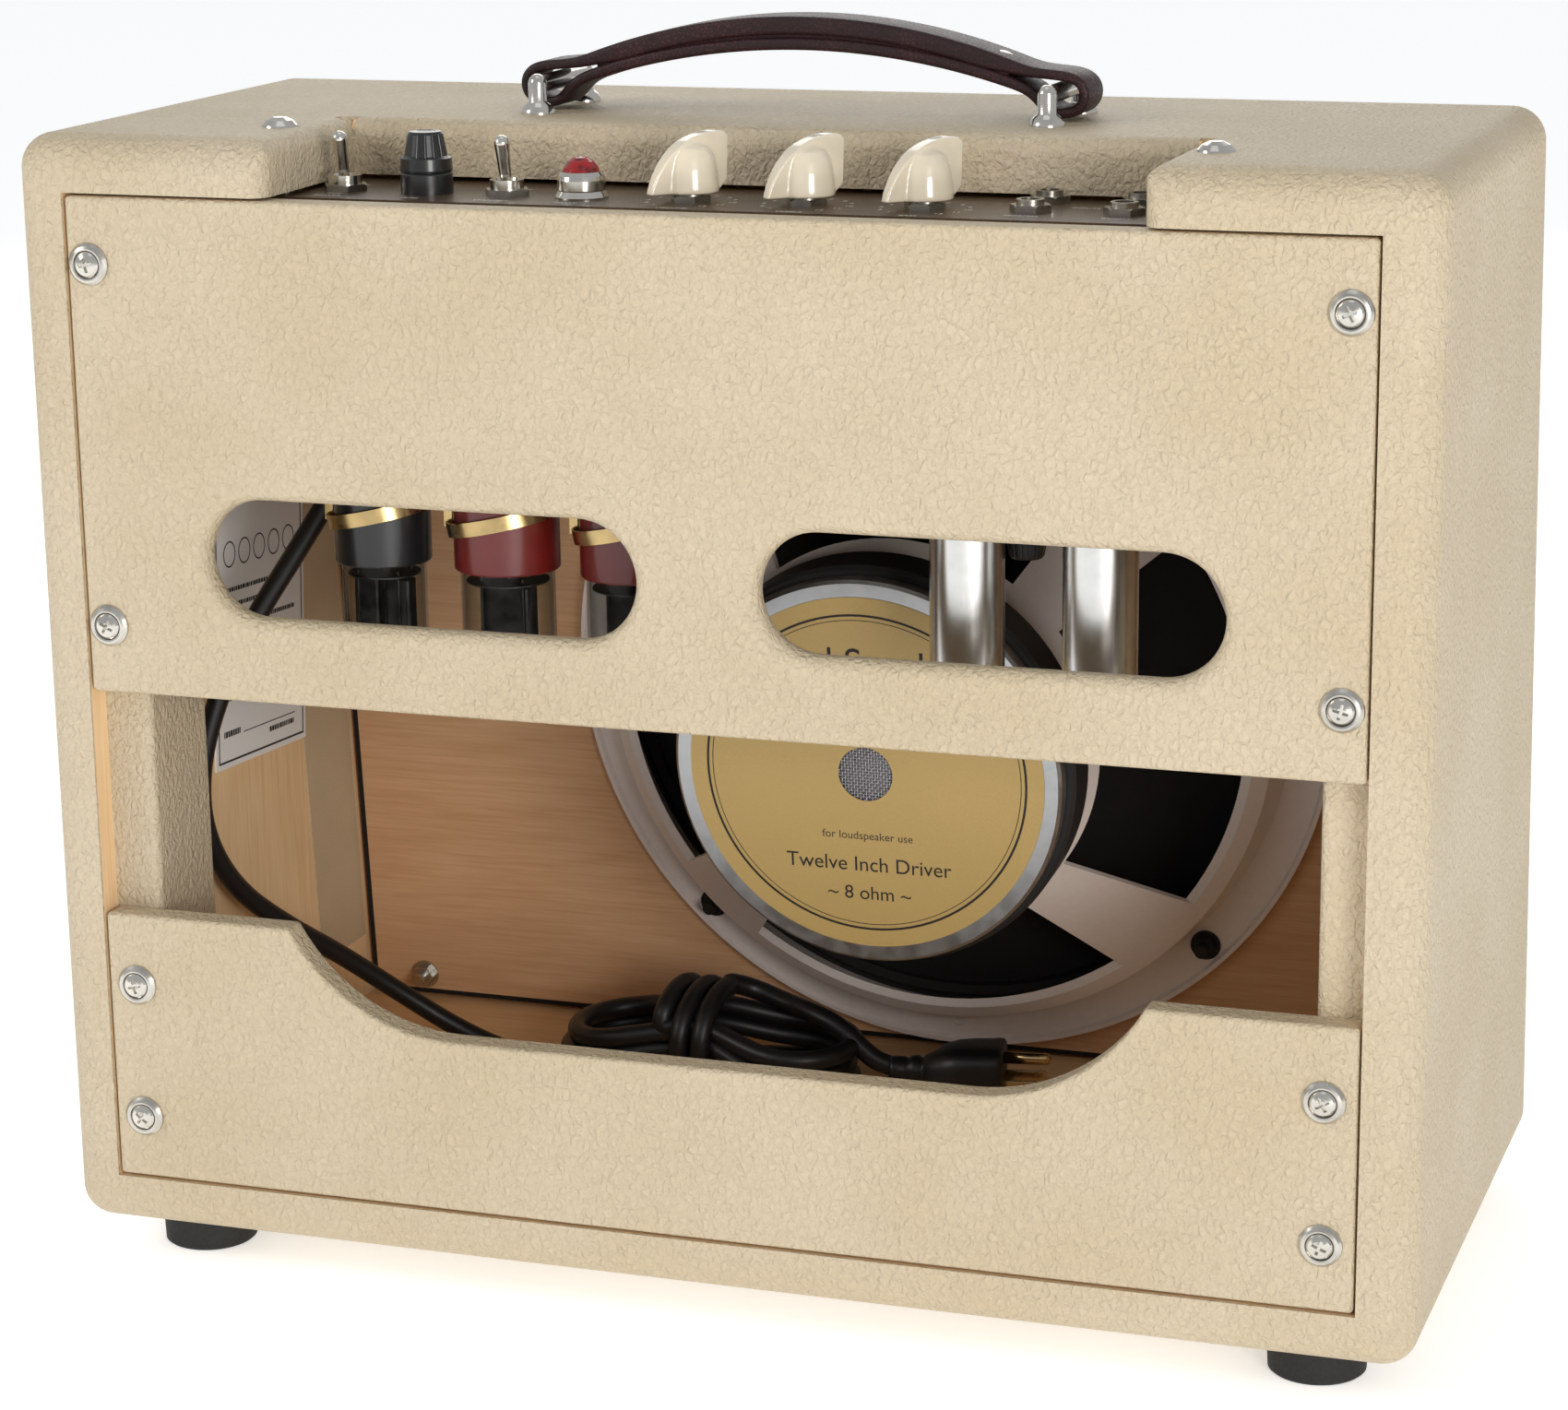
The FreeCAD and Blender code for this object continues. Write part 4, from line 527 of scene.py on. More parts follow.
def makeStrap():
    h = handle
    outline = strapOutline()
    count = len(outline)
    inner = []
    for i in range(count):
        ax, az = outline[i - 1]
        bx, bz = outline[(i + 1) % count]
        along = Vector((bx - ax, bz - az)).normalized()
        x, z = outline[i]
        full = 1 - ease(abs(x), h["fullTo"], h["thinFrom"])
        upper = along.x > 0 and abs(x) < h["span"]
        thick = h["thin"] + ((h["top"] if upper else h["under"]) - h["thin"]) * full
        inner.append((x + along.y * thick, z - along.x * thick))
    y = backY / mm + h["y"]
    y0, y1 = y - h["width"] / 2, y + h["width"] / 2
    bm = bmesh.new()
    rows = [[bm.verts.new(Vector((x, side, topZ / mm + z)) * mm) for x, z in line]
            for line, side in ((outline, y0), (outline, y1), (inner, y1), (inner, y0))]
    for i in range(count):
        n = (i + 1) % count
        for a, b in zip(rows, rows[1:] + rows[:1]):
            bm.faces.new((a[i], a[n], b[n], b[i]))
    strap = addPiece("handleStrap", meshFrom("handleStrap", bm), "strap", "handle")
    settle(strap, ("BEVEL", {"width": h["edge"] * mm, "segments": 4, "limit_method": "ANGLE",
                             "angle_limit": math.radians(50)}))
    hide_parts("handle_strap")
    bm = bmesh.new()
    y0, y1 = y0 + h["inset"], y1 - h["inset"]
    upper = arcThrough(h["join"], h["shoulderTop"], h["rise"], h["steps"])
    lower = arcThrough(h["join"], h["shoulderLow"], h["rise"] - h["middle"], h["steps"])
    pairs = [(a, b) for a, b in zip(upper, lower) if abs(a[0]) < h["fillTo"]]
    above, below = [a for a, b in pairs], [b for a, b in pairs]
    rows = [[bm.verts.new(Vector((x, side, topZ / mm + z + lift)) * mm) for x, z in line]
            for line, lift, side in ((above, -h["lap"], y0), (above, -h["lap"], y1),
                                     (below, h["lap"], y1), (below, h["lap"], y0))]
    for i in range(len(pairs) - 1):
        for a, b in zip(rows, rows[1:] + rows[:1]):
            bm.faces.new((a[i], a[i + 1], b[i + 1], b[i]))
    for i in (0, -1):
        bm.faces.new([row[i] for row in rows])
    addPiece("handleFilling", meshFrom("handleFilling", bm), "strap", "handle")
    bm = bmesh.new()
    for x, z, flip in h["rivets"]:
        slope = math.copysign(math.radians(h["rivetLean"]), x)
        turn = (Matrix.Translation(Vector((x, y, topZ / mm + z)) * mm)
                @ Matrix.Rotation(slope + (math.pi if flip else 0), 4, "Y"))
        addLathe(bm, [(radius * mm, height * mm) for radius, height in h["rivet"]], turn, 28)
    addPiece("handleRivets", meshFrom("handleRivets", bm), "rivet", "handle")


# turned posts with bullet ends, and the bars that the loops hang on
bracket = {"bar": 3.3, "barRise": 10.4, "spread": 23.0, "reach": 96.0, "screw": 2.0, "into": 27.5,
           "nut": 5.4, "nutTop": -20.0, "nutLow": -24.0,
           "post": ((0, -0.1), (6.2, -0.1), (6.2, 0.8), (5.9, 1.5), (5.4, 2.6), (4.6, 3.4), (3.7, 4.0),
                    (3.4, 4.6), (3.4, 11.0), (3.25, 12.0), (2.75, 13.0), (1.9, 13.8), (1.0, 14.25),
                    (0, 14.4))}


def addRod(bm, radius, low, high, turn, steps):
    addLathe(bm, [(0, low), (radius, low), (radius, high), (0, high)], turn, steps)


def makeBrackets():
    b = bracket
    y = handle["y"]
    top = Matrix.Translation((0, backY, topZ)) @ Matrix.Scale(mm, 4)
    bm = bmesh.new()
    for side in (-1, 1):
        x = side * b["reach"]
        bar = top @ Matrix.Translation((x, y, b["barRise"])) @ Matrix.Rotation(math.pi / 2, 4, "X")
        addRod(bm, b["bar"], -b["spread"], b["spread"], bar, 32)
        for end in (-1, 1):
            post = top @ Matrix.Translation((x, y + end * b["spread"], 0))
            addLathe(bm, b["post"], post, 36)
            addRod(bm, b["screw"], 0, -b["into"], post, 16)
            addRod(bm, b["nut"], b["nutTop"], b["nutLow"], post, 6)
    piece = addPiece("handlePosts", meshFrom("handlePosts", bm), "rivet", "cabinet")
    settle(piece, ("EDGE_SPLIT", {"split_angle": math.radians(40)}))
    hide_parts("handle_brackets")


looks["rivet"] = metal("rivetNickel", paint(214, 210, 202), 0.16, wear=0.12).material
makeStrap()
makeBrackets()
print("stage: handle")


# pointer knobs, with the moulding's soft edges
knobs = {"knob_1": ("firstKnob", "first_knob"), "knob_2": ("secondKnob", "second_knob"),
         "knob_3": ("thirdKnob", "third_knob")}
knobSkin = {"voxel": 0.45 * mm, "soften": 5}
for node, (name, body) in knobs.items():
    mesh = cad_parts[node].data.copy()
    mesh.materials.clear()
    knob = addPiece(name, mesh, "ivory", body)
    settle(knob, ("REMESH", {"mode": "VOXEL", "voxel_size": knobSkin["voxel"]}),
           ("SMOOTH", {"factor": 0.5, "iterations": knobSkin["soften"]}))
    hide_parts(node)
print("stage: knobs")


# printing on the control panel: a dial of numbers at each knob and plain words where labels go
panelPrint = {"lift": 0.06, "dialRadius": 15.4, "digit": 3.3, "row": -42.5,
              "knobs": (14.0, -28.2, -70.4), "low": 36.0, "sweep": 290.0, "steps": 12,
              "words": (("POWER", 144.5, -27.0), ("FUSE", 113.0, -27.0), ("STANDBY", 82.5, -27.0),
                        ("PILOT", 54.5, -27.0), ("VOLUME", 14.0, -22.6), ("TREBLE", -28.2, -22.6),
                        ("BASS", -70.4, -22.6), ("NORMAL", -107.5, -31.0), ("BRIGHT", -140.0, -31.0),
                        ("ON", 144.5, -58.0), ("OFF", 144.5, -33.0), ("PLAY", 82.5, -58.0),
                        ("INPUTS", -123.8, -55.0)), "letter": 3.0}


bars = {"short": 0.7, "long": 1.9, "gap": 0.45, "thick": 0.03}


def addBars(bm, draw, x, y, width, height, toWorld):
    # a line of small uneven strokes in place of words
    at = -width / 2
    while at < width / 2:
        stroke = draw.uniform(bars["short"], bars["long"])
        end = min(at + stroke, width / 2)
        addBlock(bm, Vector((at, -height / 2, 0)), Vector((end, height / 2, bars["thick"])),
                 toWorld @ Matrix.Translation((x, y, 0)))
        at += stroke + bars["gap"]


def addText(bm, words, size, turn):
    data = bpy.data.curves.new("letters", "FONT")
    data.body = words
    data.size = size
    data.extrude = size * 0.003
    data.align_x, data.align_y = "CENTER", "CENTER"
    holder = bpy.data.objects.new("letters", data)
    bpy.context.collection.objects.link(holder)
    bpy.context.view_layer.update()
    mesh = bpy.data.meshes.new_from_object(holder.evaluated_get(bpy.context.evaluated_depsgraph_get()))
    bpy.data.objects.remove(holder)
    mesh.transform(turn)
    bm.from_mesh(mesh)
    bpy.data.meshes.remove(mesh)


def makePanelPrint():
    p = panelPrint
    bm = bmesh.new()
    height = plateTop + p["lift"] * mm
    base = Matrix.Translation((0, backY, height)) @ Matrix.Scale(mm, 4) @ Matrix.Rotation(math.pi, 4, "Z")
    radius = p["dialRadius"] * mm
    for x in p["knobs"]:
        for k in range(p["steps"]):
            a = math.radians(p["low"] + p["sweep"] * k / (p["steps"] - 1))
            spot = (x * mm + radius * math.sin(a), backY + p["row"] * mm + radius * math.cos(a), height)
            turn = Matrix.Translation(spot) @ Matrix.Rotation(math.pi, 4, "Z")
            addText(bm, str(k + 1), p["digit"], turn @ Matrix.Scale(mm, 4))
    for words, x, y in p["words"]:
        addText(bm, words, p["letter"], base @ Matrix.Translation((-x, -y, 0)))
    addPiece("panelMarks", meshFrom("panelMarks", bm), "whiteInk", "cabinet", smooth=False)


makePanelPrint()
print("stage: panel print")


# the speaker's label print and the mesh in its vent, on the leaning magnet
labelLow, labelHigh = (Vector(corner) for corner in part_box("magnet_label"))
front = {"leansBack": 36.0, "height": 409.0}
leanAngle = math.atan(front["leansBack"] / front["height"])
labelFrame = (Matrix.Translation((labelLow + labelHigh) / 2) @ Matrix.Rotation(-leanAngle, 4, "X")
              @ Matrix.Rotation(-math.pi / 2, 4, "X") @ Matrix.Rotation(math.pi, 4, "Z")
              @ Matrix.Scale(mm, 4))
label = {"lift": 0.14, "thick": 0.03, "rings": ((61.2, 62.1), (59.6, 59.9)),
         "words": (("for loudspeaker use", -24.5, 4.4), ("Twelve Inch Driver", -36.0, 8.2),
                   ("~ 8 ohm ~", -47.5, 7.6), ("Loud Speaker", 43.0, 15.0))}
vent = {"reach": 10.4, "pitch": 1.15, "wire": 0.17, "sides": 5, "meshSink": 0.6, "clothSink": 1.4,
        "clothThick": 0.5}


def addRing(bm, inner, outer, thick, turn, steps):
    addLathe(bm, [(inner, 0), (outer, 0), (outer, thick), (inner, thick), (inner, 0)], turn, steps)


def makeLabelPrint():
    bm = bmesh.new()
    lifted = labelFrame @ Matrix.Translation((0, 0, label["lift"]))
    for inner, outer in label["rings"]:
        addRing(bm, inner, outer, label["thick"], lifted, 96)
    for words, y, size in label["words"]:
        addText(bm, words, size, lifted @ Matrix.Translation((0, y, 0)))
    addPiece("labelPrint", meshFrom("labelPrint", bm), "ink", "cabinet", smooth=False)


def makeVentMesh():
    bm = bmesh.new()
    # woven wires: each passes over and under the ones that cross it
    reach, pitch, wire, sides = (vent[k] for k in ("reach", "pitch", "wire", "sides"))
    count = int(reach / pitch)
    for across in (0, 1):
        for k in range(-count, count + 1):
            offset = k * pitch
            half = math.sqrt(max(0.0, reach ** 2 - offset ** 2))
            steps = max(2, round(2 * half / (pitch / 2)))
            rows = []
            for j in range(steps + 1):
                at = -half + 2 * half * j / steps
                wave = wire * math.cos(math.pi * at / pitch) * (1 if (k + across) % 2 else -1)
                rise = wave - vent["meshSink"]
                spot = Vector((at, offset, rise)) if across else Vector((offset, at, rise))
                side = Vector((0, 1, 0)) if across else Vector((1, 0, 0))
                rows.append([bm.verts.new(labelFrame @ (spot + side * wire * math.cos(a)
                                                        + Vector((0, 0, wire * math.sin(a)))))
                             for a in (2 * math.pi * i / sides for i in range(sides))])
            for a, b in zip(rows, rows[1:]):
                for i in range(sides):
                    n = (i + 1) % sides
                    bm.faces.new((a[i], a[n], b[n], b[i]))
    addPiece("ventMesh", meshFrom("ventMesh", bm), "meshWire", "cabinet")
    bm = bmesh.new()
    back = labelFrame @ Matrix.Translation((0, 0, -vent["clothSink"]))
    addRod(bm, reach, 0, -vent["clothThick"], back, 48)
    addPiece("ventCloth", meshFrom("ventCloth", bm), "ventCloth", "cabinet")


looks["ventCloth"] = fibrous("ventCloth", paint(150, 147, 150), 0.8, 0.0005, 0.0001, 0.4).material
makeLabelPrint()
makeVentMesh()
print("stage: speaker label")


# the chart on the side wall: a ruled border, a row of tube rings and plain lines
chart = {"width": 80.0, "height": 124.0, "back": -95.0, "rise": 132.0, "turn": 4.0, "inset": 2.2, "rule": 0.8,
         "lift": 0.05, "ink": 0.04, "seed": 23,
         "tubes": {"count": 5, "first": 14, "step": 13, "y": 84, "inner": 4.6, "outer": 5.2},
         "middle": 40, "letter": 1.7,
         "lines": ((112, 54), (106, 38), (70, 60), (64, 44), (56, 62), (50, 50), (44, 58), (38, 30)),
         "fields": (26, 12), "fieldFrom": 24, "fieldTo": 70, "fieldRule": 0.4,
         "fieldBars": ((14, 1.4, 14, 2.4), (58, -3.0, 22, 2.0))}


def makeChartPrint():
    c = chart
    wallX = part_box("tube_chart")[0][0] - c["lift"] * mm
    pivot = Vector((wallX, backY + c["back"] * mm, floorZ + c["rise"] * mm))
    # seen from inside the cabinet, across runs to the front and up runs up
    flat = Matrix(((0, 0, -1, 0), (-1, 0, 0, 0), (0, 1, 0, 0), (0, 0, 0, 1)))
    place = (Matrix.Translation(pivot) @ Matrix.Rotation(math.radians(c["turn"]), 4, "X") @ flat
             @ Matrix.Scale(mm, 4))
    bm = bmesh.new()
    a, b, r = c["inset"], c["width"] - c["inset"], c["rule"]
    t = c["height"] - c["inset"]
    for lowCorner, highCorner in (((a, a), (b, a + r)), ((a, t - r), (b, t)),
                                  ((a, a), (a + r, t)), ((b - r, a), (b, t))):
        addBlock(bm, Vector((*lowCorner, 0)), Vector((*highCorner, c["ink"])), place)
    tubes = c["tubes"]
    for k in range(tubes["count"]):
        spot = place @ Matrix.Translation((tubes["first"] + tubes["step"] * k, tubes["y"], 0))
        addRing(bm, tubes["inner"], tubes["outer"], c["ink"], spot, 32)
    draw = random.Random(c["seed"])
    for y, width in c["lines"]:
        addBars(bm, draw, c["middle"], y, width, c["letter"], place)
    for y in c["fields"]:
        start, end = Vector((c["fieldFrom"], y, 0)), Vector((c["fieldTo"], y + c["fieldRule"], c["ink"]))
        addBlock(bm, start, end, place)
        for x, rise, width, height in c["fieldBars"]:
            addBars(bm, draw, x, y + rise, width, height, place)
    addPiece("chartPrint", meshFrom("chartPrint", bm), "ink", "cabinet", smooth=False)


makeChartPrint()
print("stage: chart")


# a thin black strip round the edge of the baffle's rear face: painted shadow for the dark gap between the
# baffle and the side strips
gapShade = {"width": 1.9, "thick": 0.12, "board": 12.7}


def makeGapShade():
    low, high = (Vector(corner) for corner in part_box("baffle_board"))
    across = (high.x - low.x) / 2
    slant = Matrix.Rotation(-leanAngle, 4, "X")
    board = gapShade["board"] * mm
    tall = ((high.z - low.z) - board * math.sin(leanAngle)) / math.cos(leanAngle) / 2
    face = Matrix.Translation((low + high) / 2) @ slant @ Matrix.Translation((0, board / 2, 0))
    w, t = gapShade["width"] * mm, gapShade["thick"] * mm
    bm = bmesh.new()
    for x0, x1, z0, z1 in ((-across, across, -tall, w - tall), (-across, across, tall - w, tall),
                           (-across, w - across, -tall, tall), (across - w, across, -tall, tall)):
        addBlock(bm, Vector((x0, 0, z0)), Vector((x1, t, z1)), face)
    addPiece("baffleGapShade", meshFrom("baffleGapShade", bm), "gapShade", "cabinet", smooth=False)


# near-black finish of the strip: painted shadow for the gap round the baffle
looks["gapShade"] = fibrous("paintedGapShadow", paint(20, 18, 17), 0.85).material
makeGapShade()
print("stage: baffle tape")


# mirror flash inside each large bulb's closed end
bulbs = {"y": -55.0, "end": 213.0, "places": ((141.0, 15.5), (92.0, 17.3), (43.0, 17.3)), "wall": 1.35,
         "flash": ((0.42, 3.2), (0.66, 3.9), (0.84, 5.4), (0.93, 7.4)), "thin": 0.15, "thinRise": 0.1}


def makeGetters():
    bm = bmesh.new()
    for x, radius in bulbs["places"]:
        turn = Matrix.Translation((x * mm, backY + bulbs["y"] * mm, bulbs["end"] * mm)) @ Matrix.Scale(mm, 4)
        profile = [((radius - bulbs["wall"]) * share, z) for share, z in bulbs["flash"]]
        inside = [(r - bulbs["thin"], z + bulbs["thinRise"]) for r, z in reversed(profile)]
        addLathe(bm, profile + inside, turn, 40)
    addPiece("getterFlash", meshFrom("getterFlash", bm), "getter", "cabinet")


makeGetters()
print("stage: bulbs")


# woven grille cloth stretched over the baffle, with a slight slack in its middle
grille = {"lift": 0.1, "margin": 0.2, "columns": 96, "rows": 76, "slack": 0.12}


def makeGrille():
    low, high = (Vector(corner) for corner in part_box("grille_cloth"))
    slant = Vector((0, math.sin(leanAngle), math.cos(leanAngle)))
    out = Vector((0, -math.cos(leanAngle), math.sin(leanAngle)))
    middle = (low + high) / 2 + out * grille["lift"] * mm
    halfWide = (high.x - low.x) / 2 - grille["margin"] * mm
    halfTall = (high.z - low.z) / 2 / math.cos(leanAngle) - grille["margin"] * mm
    columns, rows = grille["columns"], grille["rows"]
    bm = bmesh.new()
    grid = []
    for j in range(rows + 1):
        line = []
        for i in range(columns + 1):
            u, v = 2 * i / columns - 1, 2 * j / rows - 1
            wave = math.sin(9 * u + 3 * v) * math.sin(7 * v - 2 * u) * (1 - u ** 4) * (1 - v ** 4)
            flat = middle + Vector((u * halfWide, 0, 0)) + slant * v * halfTall
            line.append(bm.verts.new(flat + out * grille["slack"] * mm * wave))
        grid.append(line)
    for a, b in zip(grid, grid[1:]):
        for i in range(columns):
            bm.faces.new((a[i], a[i + 1], b[i + 1], b[i]))
    cloth = addPiece("grilleCloth", meshFrom("grilleCloth", bm), "weave", "cabinet")
    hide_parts("grille_cloth")


makeGrille()
print("stage: grille cloth")


# the mains lead: a fall from the gland, a wound hank with a wrapped waist, and the run to the plug
lead = {"diameter": 8.0, "length": 1.54,
        "fall": ((174.8, -80.0, 281.0), (191.0, -79.5, 257.0), (207.0, -77.0, 233.0),
                 (221.0, -73.0, 204.0), (228.4, -69.0, 176.0), (229.4, -72.0, 149.0),
                 (225.0, -86.0, 124.0), (215.0, -107.0, 104.0), (201.0, -130.0, 85.0),
                 (184.0, -146.0, 66.0), (162.0, -155.0, 49.0), (138.0, -158.0, 39.4),
                 (116.0, -158.0, 39.2)),
        "entry": ((98, -160, 39.3), (80, -167, 39.3), (62, -178, 39.6), (46, -187, 39.3)),
        "tail": ((51, -171, 74.5), (43, -179, 70), (29, -177, 66), (15, -169, 65.5), (3, -165, 62.5),
                 (-7, -163.6, 54), (-15, -163.9, 48.6), (-23, -165.2, 47.6))}
hank = {"low": -2.0, "high": 112.0, "middle": -164.0, "half": 27.0, "layer": 8.1,
        "turns": 2.45, "perTurn": 26, "startShare": 0.85, "ground": 4.3,
        "spread": 0.8, "spreadRate": 2.1, "shift": 2.5, "shiftRate": 1.7,
        "layerStep": 1.2, "waist": 61.0, "pinch": 12.0, "pinchSpread": 28.0, "liftSpread": 24.0,
        "wraps": 2.2, "perWrap": 16, "wrapFrom": 0.12, "wrapPast": 0.1, "wrapStart": 10, "wrapMiddle": 1,
        "wrapWide": 23.0, "wrapTall": 17.5, "wrapPitch": 9.0}


def hankPoint(travel, spread):
    # place on the long loop after so much travel along it
    radius = hank["half"] + spread
    straight = hank["high"] - hank["low"] - 2 * hank["half"]
    bend = math.pi * radius
    left = hank["low"] + hank["half"]
    s = travel % (2 * straight + 2 * bend)
    if s < straight:
        return left + straight - s, -radius
    s -= straight
    if s < bend:
        a = s / radius
        return left - radius * math.sin(a), -radius * math.cos(a)
    s -= bend
    if s < straight:
        return left + s, radius
    a = (s - straight) / radius
    return left + straight + radius * math.sin(a), radius * math.cos(a)


def hankRoute():
    straight = hank["high"] - hank["low"] - 2 * hank["half"]
    around = 2 * straight + 2 * math.pi * hank["half"]
    risingFrom = (straight + math.pi * hank["half"]) / around
    risingTo = risingFrom + straight / around
    start = straight * hank["startShare"]
    ground = floorZ / mm + hank["ground"]
    points = []
    for k in range(round(hank["turns"] * hank["perTurn"]) + 1):
        travel = start + around * k / hank["perTurn"]
        turn = travel / around
        risen = (turn % 1 - risingFrom) / (risingTo - risingFrom)
        layer = min(2.0, math.floor(turn) + min(1, max(0, risen)))
        x, y = hankPoint(travel, hank["spread"] * math.sin(hank["spreadRate"] * turn))
        near = math.exp(-((x - hank["waist"]) / hank["pinchSpread"]) ** 2)
        y *= 1 - near * hank["pinch"] / hank["half"]
        lift = math.exp(-((x - hank["waist"]) / hank["liftSpread"]) ** 2) * hank["layer"]
        points.append((x + hank["shift"] * math.sin(hank["shiftRate"] * turn),
                       hank["middle"] + y + hank["layerStep"] * layer,
                       ground + layer * hank["layer"] + lift))
    return points


def wrapRoute():
    ground = floorZ / mm + hank["ground"]
    points = []
    first, count = hank["wrapFrom"], round(hank["wraps"] * hank["perWrap"])
    for k in range(count + 1):
        turn = first + (hank["wraps"] - first + hank["wrapPast"]) * k / count
        a = 2 * math.pi * turn
        points.append((hank["waist"] + hank["wrapStart"] - hank["wrapPitch"] * turn,
                       hank["middle"] + hank["wrapMiddle"] + hank["wrapWide"] * math.cos(a),
                       ground + hank["wrapTall"] * (1 + math.sin(a))))
    return points


def smoothCurve(name, points, radius):
    # round NURBS tube through control points given in millimetres behind the back face
    data = bpy.data.curves.new(name, "CURVE")
    data.dimensions = "3D"
    data.bevel_depth = radius * mm
    data.bevel_resolution = 5
    data.resolution_u = 8
    data.use_fill_caps = True
    spline = data.splines.new("NURBS")
    spline.points.add(len(points) - 1)
    for spot, (x, y, z) in zip(spline.points, points):
        spot.co = (x * mm, backY + y * mm, z * mm, 1)
    spline.order_u = 3
    spline.use_endpoint_u = True
    piece = bpy.data.objects.new(name, data)
    bpy.context.collection.objects.link(piece)
    return piece


# moulded plug: neck, grip and body lofted from rounded sections, with two blades and a round pin
plug = {"place": (-18.0, -164.0, 47.4), "turn": 190.0,
        # along the plug, half width, half height, squareness
        "sections": ((0, 4.9, 4.9, 2.0), (1.5, 5.2, 5.2, 2.0), (6, 5.2, 5.2, 2.0), (6.6, 4.7, 4.7, 2.0),
                     (7.8, 4.7, 4.7, 2.0), (8.4, 5.6, 5.6, 2.0), (11.6, 5.8, 5.8, 2.0),
                     (12.2, 5.2, 5.2, 2.0), (13.4, 5.2, 5.2, 2.0), (14.0, 6.4, 6.2, 2.0),
                     (17.5, 8.4, 7.6, 2.3), (22, 11.6, 10.2, 2.8), (27, 13.2, 11.3, 3.2),
                     (33, 13.6, 11.7, 3.6), (40, 13.8, 11.8, 3.8), (42, 14.0, 12.0, 4.0),
                     (44.2, 13.8, 11.8, 4.0), (45, 13.0, 11.0, 4.0)),
        "blade": ((44, 61), 0.78, (-7.2, -0.8), 6.35), "bladeEdge": 0.4,
        # radius, start, end and height, then the tip as shares of the radius and distances from the end
        "pin": (2.35, 44, 63.6, 6.4), "tip": ((1, 2), (0.85, 0.8), (0.5, 0.2))}


def makePlug():
    p = plug
    x, y, z = p["place"]
    turn = (Matrix.Translation((x * mm, backY + y * mm, z * mm))
            @ Matrix.Rotation(math.radians(p["turn"]), 4, "Z") @ Matrix.Scale(mm, 4))
    steps = 48
    bm = bmesh.new()
    rows = []
    for at, wide, tall, power in p["sections"]:
        row = []
        for k in range(steps):
            a = 2 * math.pi * k / steps
            c, s = math.cos(a), math.sin(a)
            row.append(bm.verts.new(turn @ Vector((at, math.copysign(abs(c) ** (2 / power), c) * wide,
                                                   math.copysign(abs(s) ** (2 / power), s) * tall))))
        rows.append(row)
    for a, b in zip(rows, rows[1:]):
        for k in range(steps):
            bm.faces.new((a[k], a[(k + 1) % steps], b[(k + 1) % steps], b[k]))
    for row in (rows[0], rows[-1]):
        bm.faces.new(row)
    body = addPiece("plugBody", meshFrom("plugBody", bm), "leadRubber", "cabinet")
    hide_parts("power_plug")
    bm = bmesh.new()
    (near, far), half, (low, high), spread = p["blade"]
    for side in (-1, 1):
        apart = side * spread
        addBlock(bm, Vector((near, apart - half, low)), Vector((far, apart + half, high)), turn)
    blades = addPiece("plugBlades", meshFrom("plugBlades", bm), "brass", "cabinet")
    settle(blades, ("BEVEL", {"width": p["bladeEdge"] * mm, "segments": 3}))
    bm = bmesh.new()
    radius, near, far, height = p["pin"]
    along = turn @ Matrix.Translation((0, 0, height)) @ Matrix.Rotation(math.pi / 2, 4, "Y")
    tip = [(radius * share, far - short) for share, short in p["tip"]]
    addLathe(bm, [(0, near), (radius, near), *tip, (0, far)], along, 28)
    pin = addPiece("plugPin", meshFrom("plugPin", bm), "brass", "cabinet")
    return [body, blades, pin]


leadPoints = list(lead["fall"]) + list(lead["entry"]) + hankRoute()[1:] + wrapRoute() + list(lead["tail"])
mainsLead = smoothCurve("mainsLead", leadPoints, lead["diameter"] / 2)
mainsLead.data.materials.append(looks["leadRubber"])
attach(mainsLead, "cabinet")
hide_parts("power_cord", "power_cord_hank")
makePlug()
print("stage: lead")


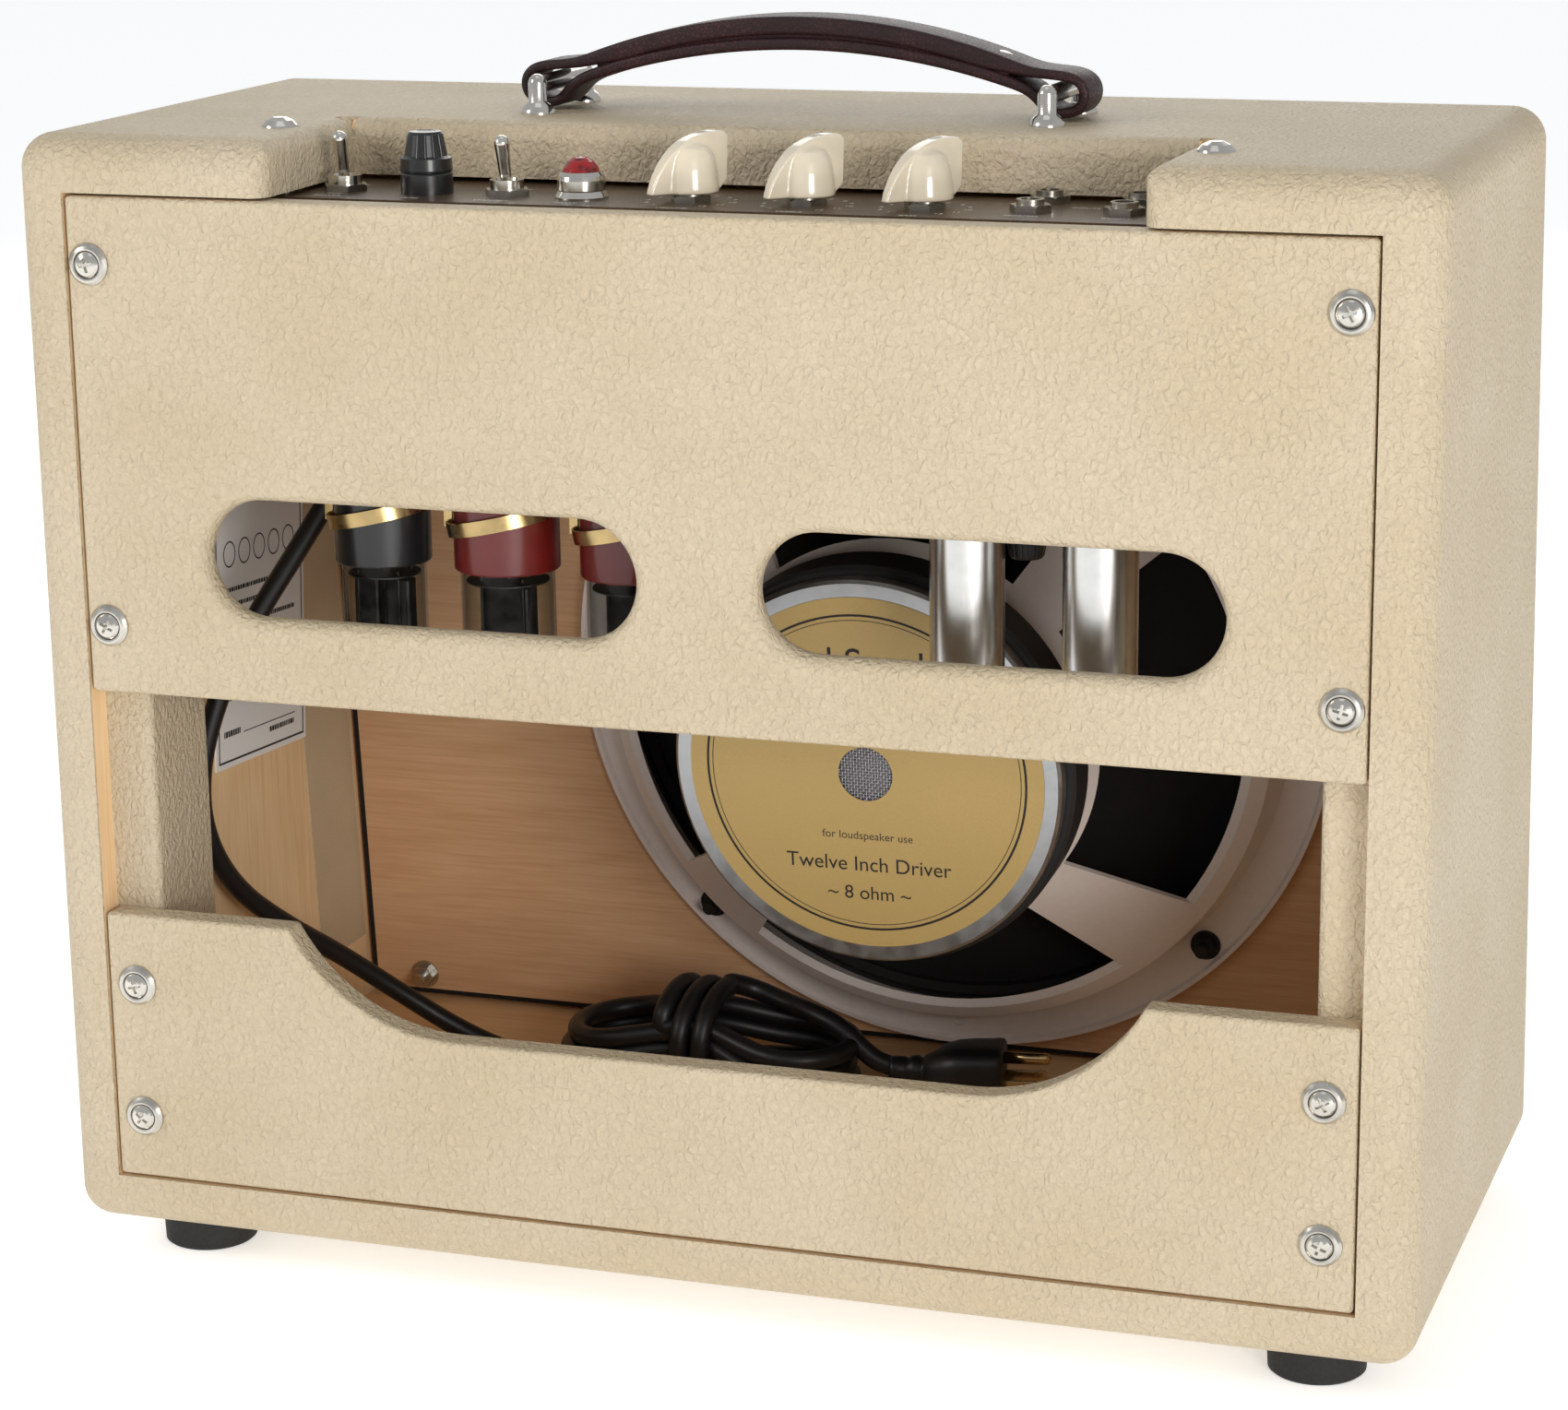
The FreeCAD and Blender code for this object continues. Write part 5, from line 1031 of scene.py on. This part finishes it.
# pale floor, soft lamps and a bright surround
studio = {"sky": (0.96, 0.98, 1.0), "skyPower": 0.52, "floorGlow": 0.46, "reach": 14.0, "aim": (0, 0, 0.22),
          "lamps": (("keyLamp", (1.8, 1.25, 1.35), 0.7, 16, (1.0, 0.97, 0.93)),
                    ("fillLamp", (-1.5, 1.9, 0.6), 0.8, 26, (1.0, 0.97, 0.93)),
                    ("frontLamp", (0.6, -2.0, 1.4), 1.6, 14, (1.0, 0.98, 0.95)),
                    ("topLamp", (0.0, 0.2, 2.3), 1.0, 1.5, (0.9, 0.96, 1.0)))}


def makeStudio():
    bm = bmesh.new()
    corners = ((-1, -1), (1, -1), (1, 1), (-1, 1))
    bm.faces.new([bm.verts.new((x * studio["reach"], y * studio["reach"], 0)) for x, y in corners])
    ground = bpy.data.objects.new("ground", meshFrom("ground", bm))
    bpy.context.collection.objects.link(ground)
    floor = fibrous("paleFloor", (0.97, 0.97, 0.965), 0.8, 0.01, 0.0001, 0.01)
    floor.feed("Emission Color", (1.0, 1.0, 1.0))
    floor.feed("Emission Strength", studio["floorGlow"])
    ground.data.materials.append(floor.material)
    world = bpy.data.worlds.new("world")
    bpy.context.scene.world = world
    world.use_nodes = True
    nodes, links = world.node_tree.nodes, world.node_tree.links
    surround = nodes["Background"]
    surround.inputs[0].default_value = (*studio["sky"], 1)
    surround.inputs[1].default_value = studio["skyPower"]
    backdrop = nodes.new("ShaderNodeBackground")
    ray = nodes.new("ShaderNodeLightPath")
    either = nodes.new("ShaderNodeMixShader")
    backdrop.inputs[0].default_value = (1, 1, 1, 1)
    links.new(ray.outputs["Is Camera Ray"], either.inputs[0])
    links.new(surround.outputs[0], either.inputs[1])
    links.new(backdrop.outputs[0], either.inputs[2])
    links.new(either.outputs[0], nodes["World Output"].inputs[0])
    for name, spot, size, power, colour in studio["lamps"]:
        data = bpy.data.lights.new(name, "AREA")
        data.size = size
        data.energy = power
        data.color = colour
        lamp = bpy.data.objects.new(name, data)
        lamp.location = spot
        lamp.rotation_euler = (Vector(studio["aim"]) - Vector(spot)).to_track_quat("-Z", "Y").to_euler()
        bpy.context.collection.objects.link(lamp)
    bpy.context.scene.view_settings.view_transform = "Standard"


makeStudio()
print("stage: studio")
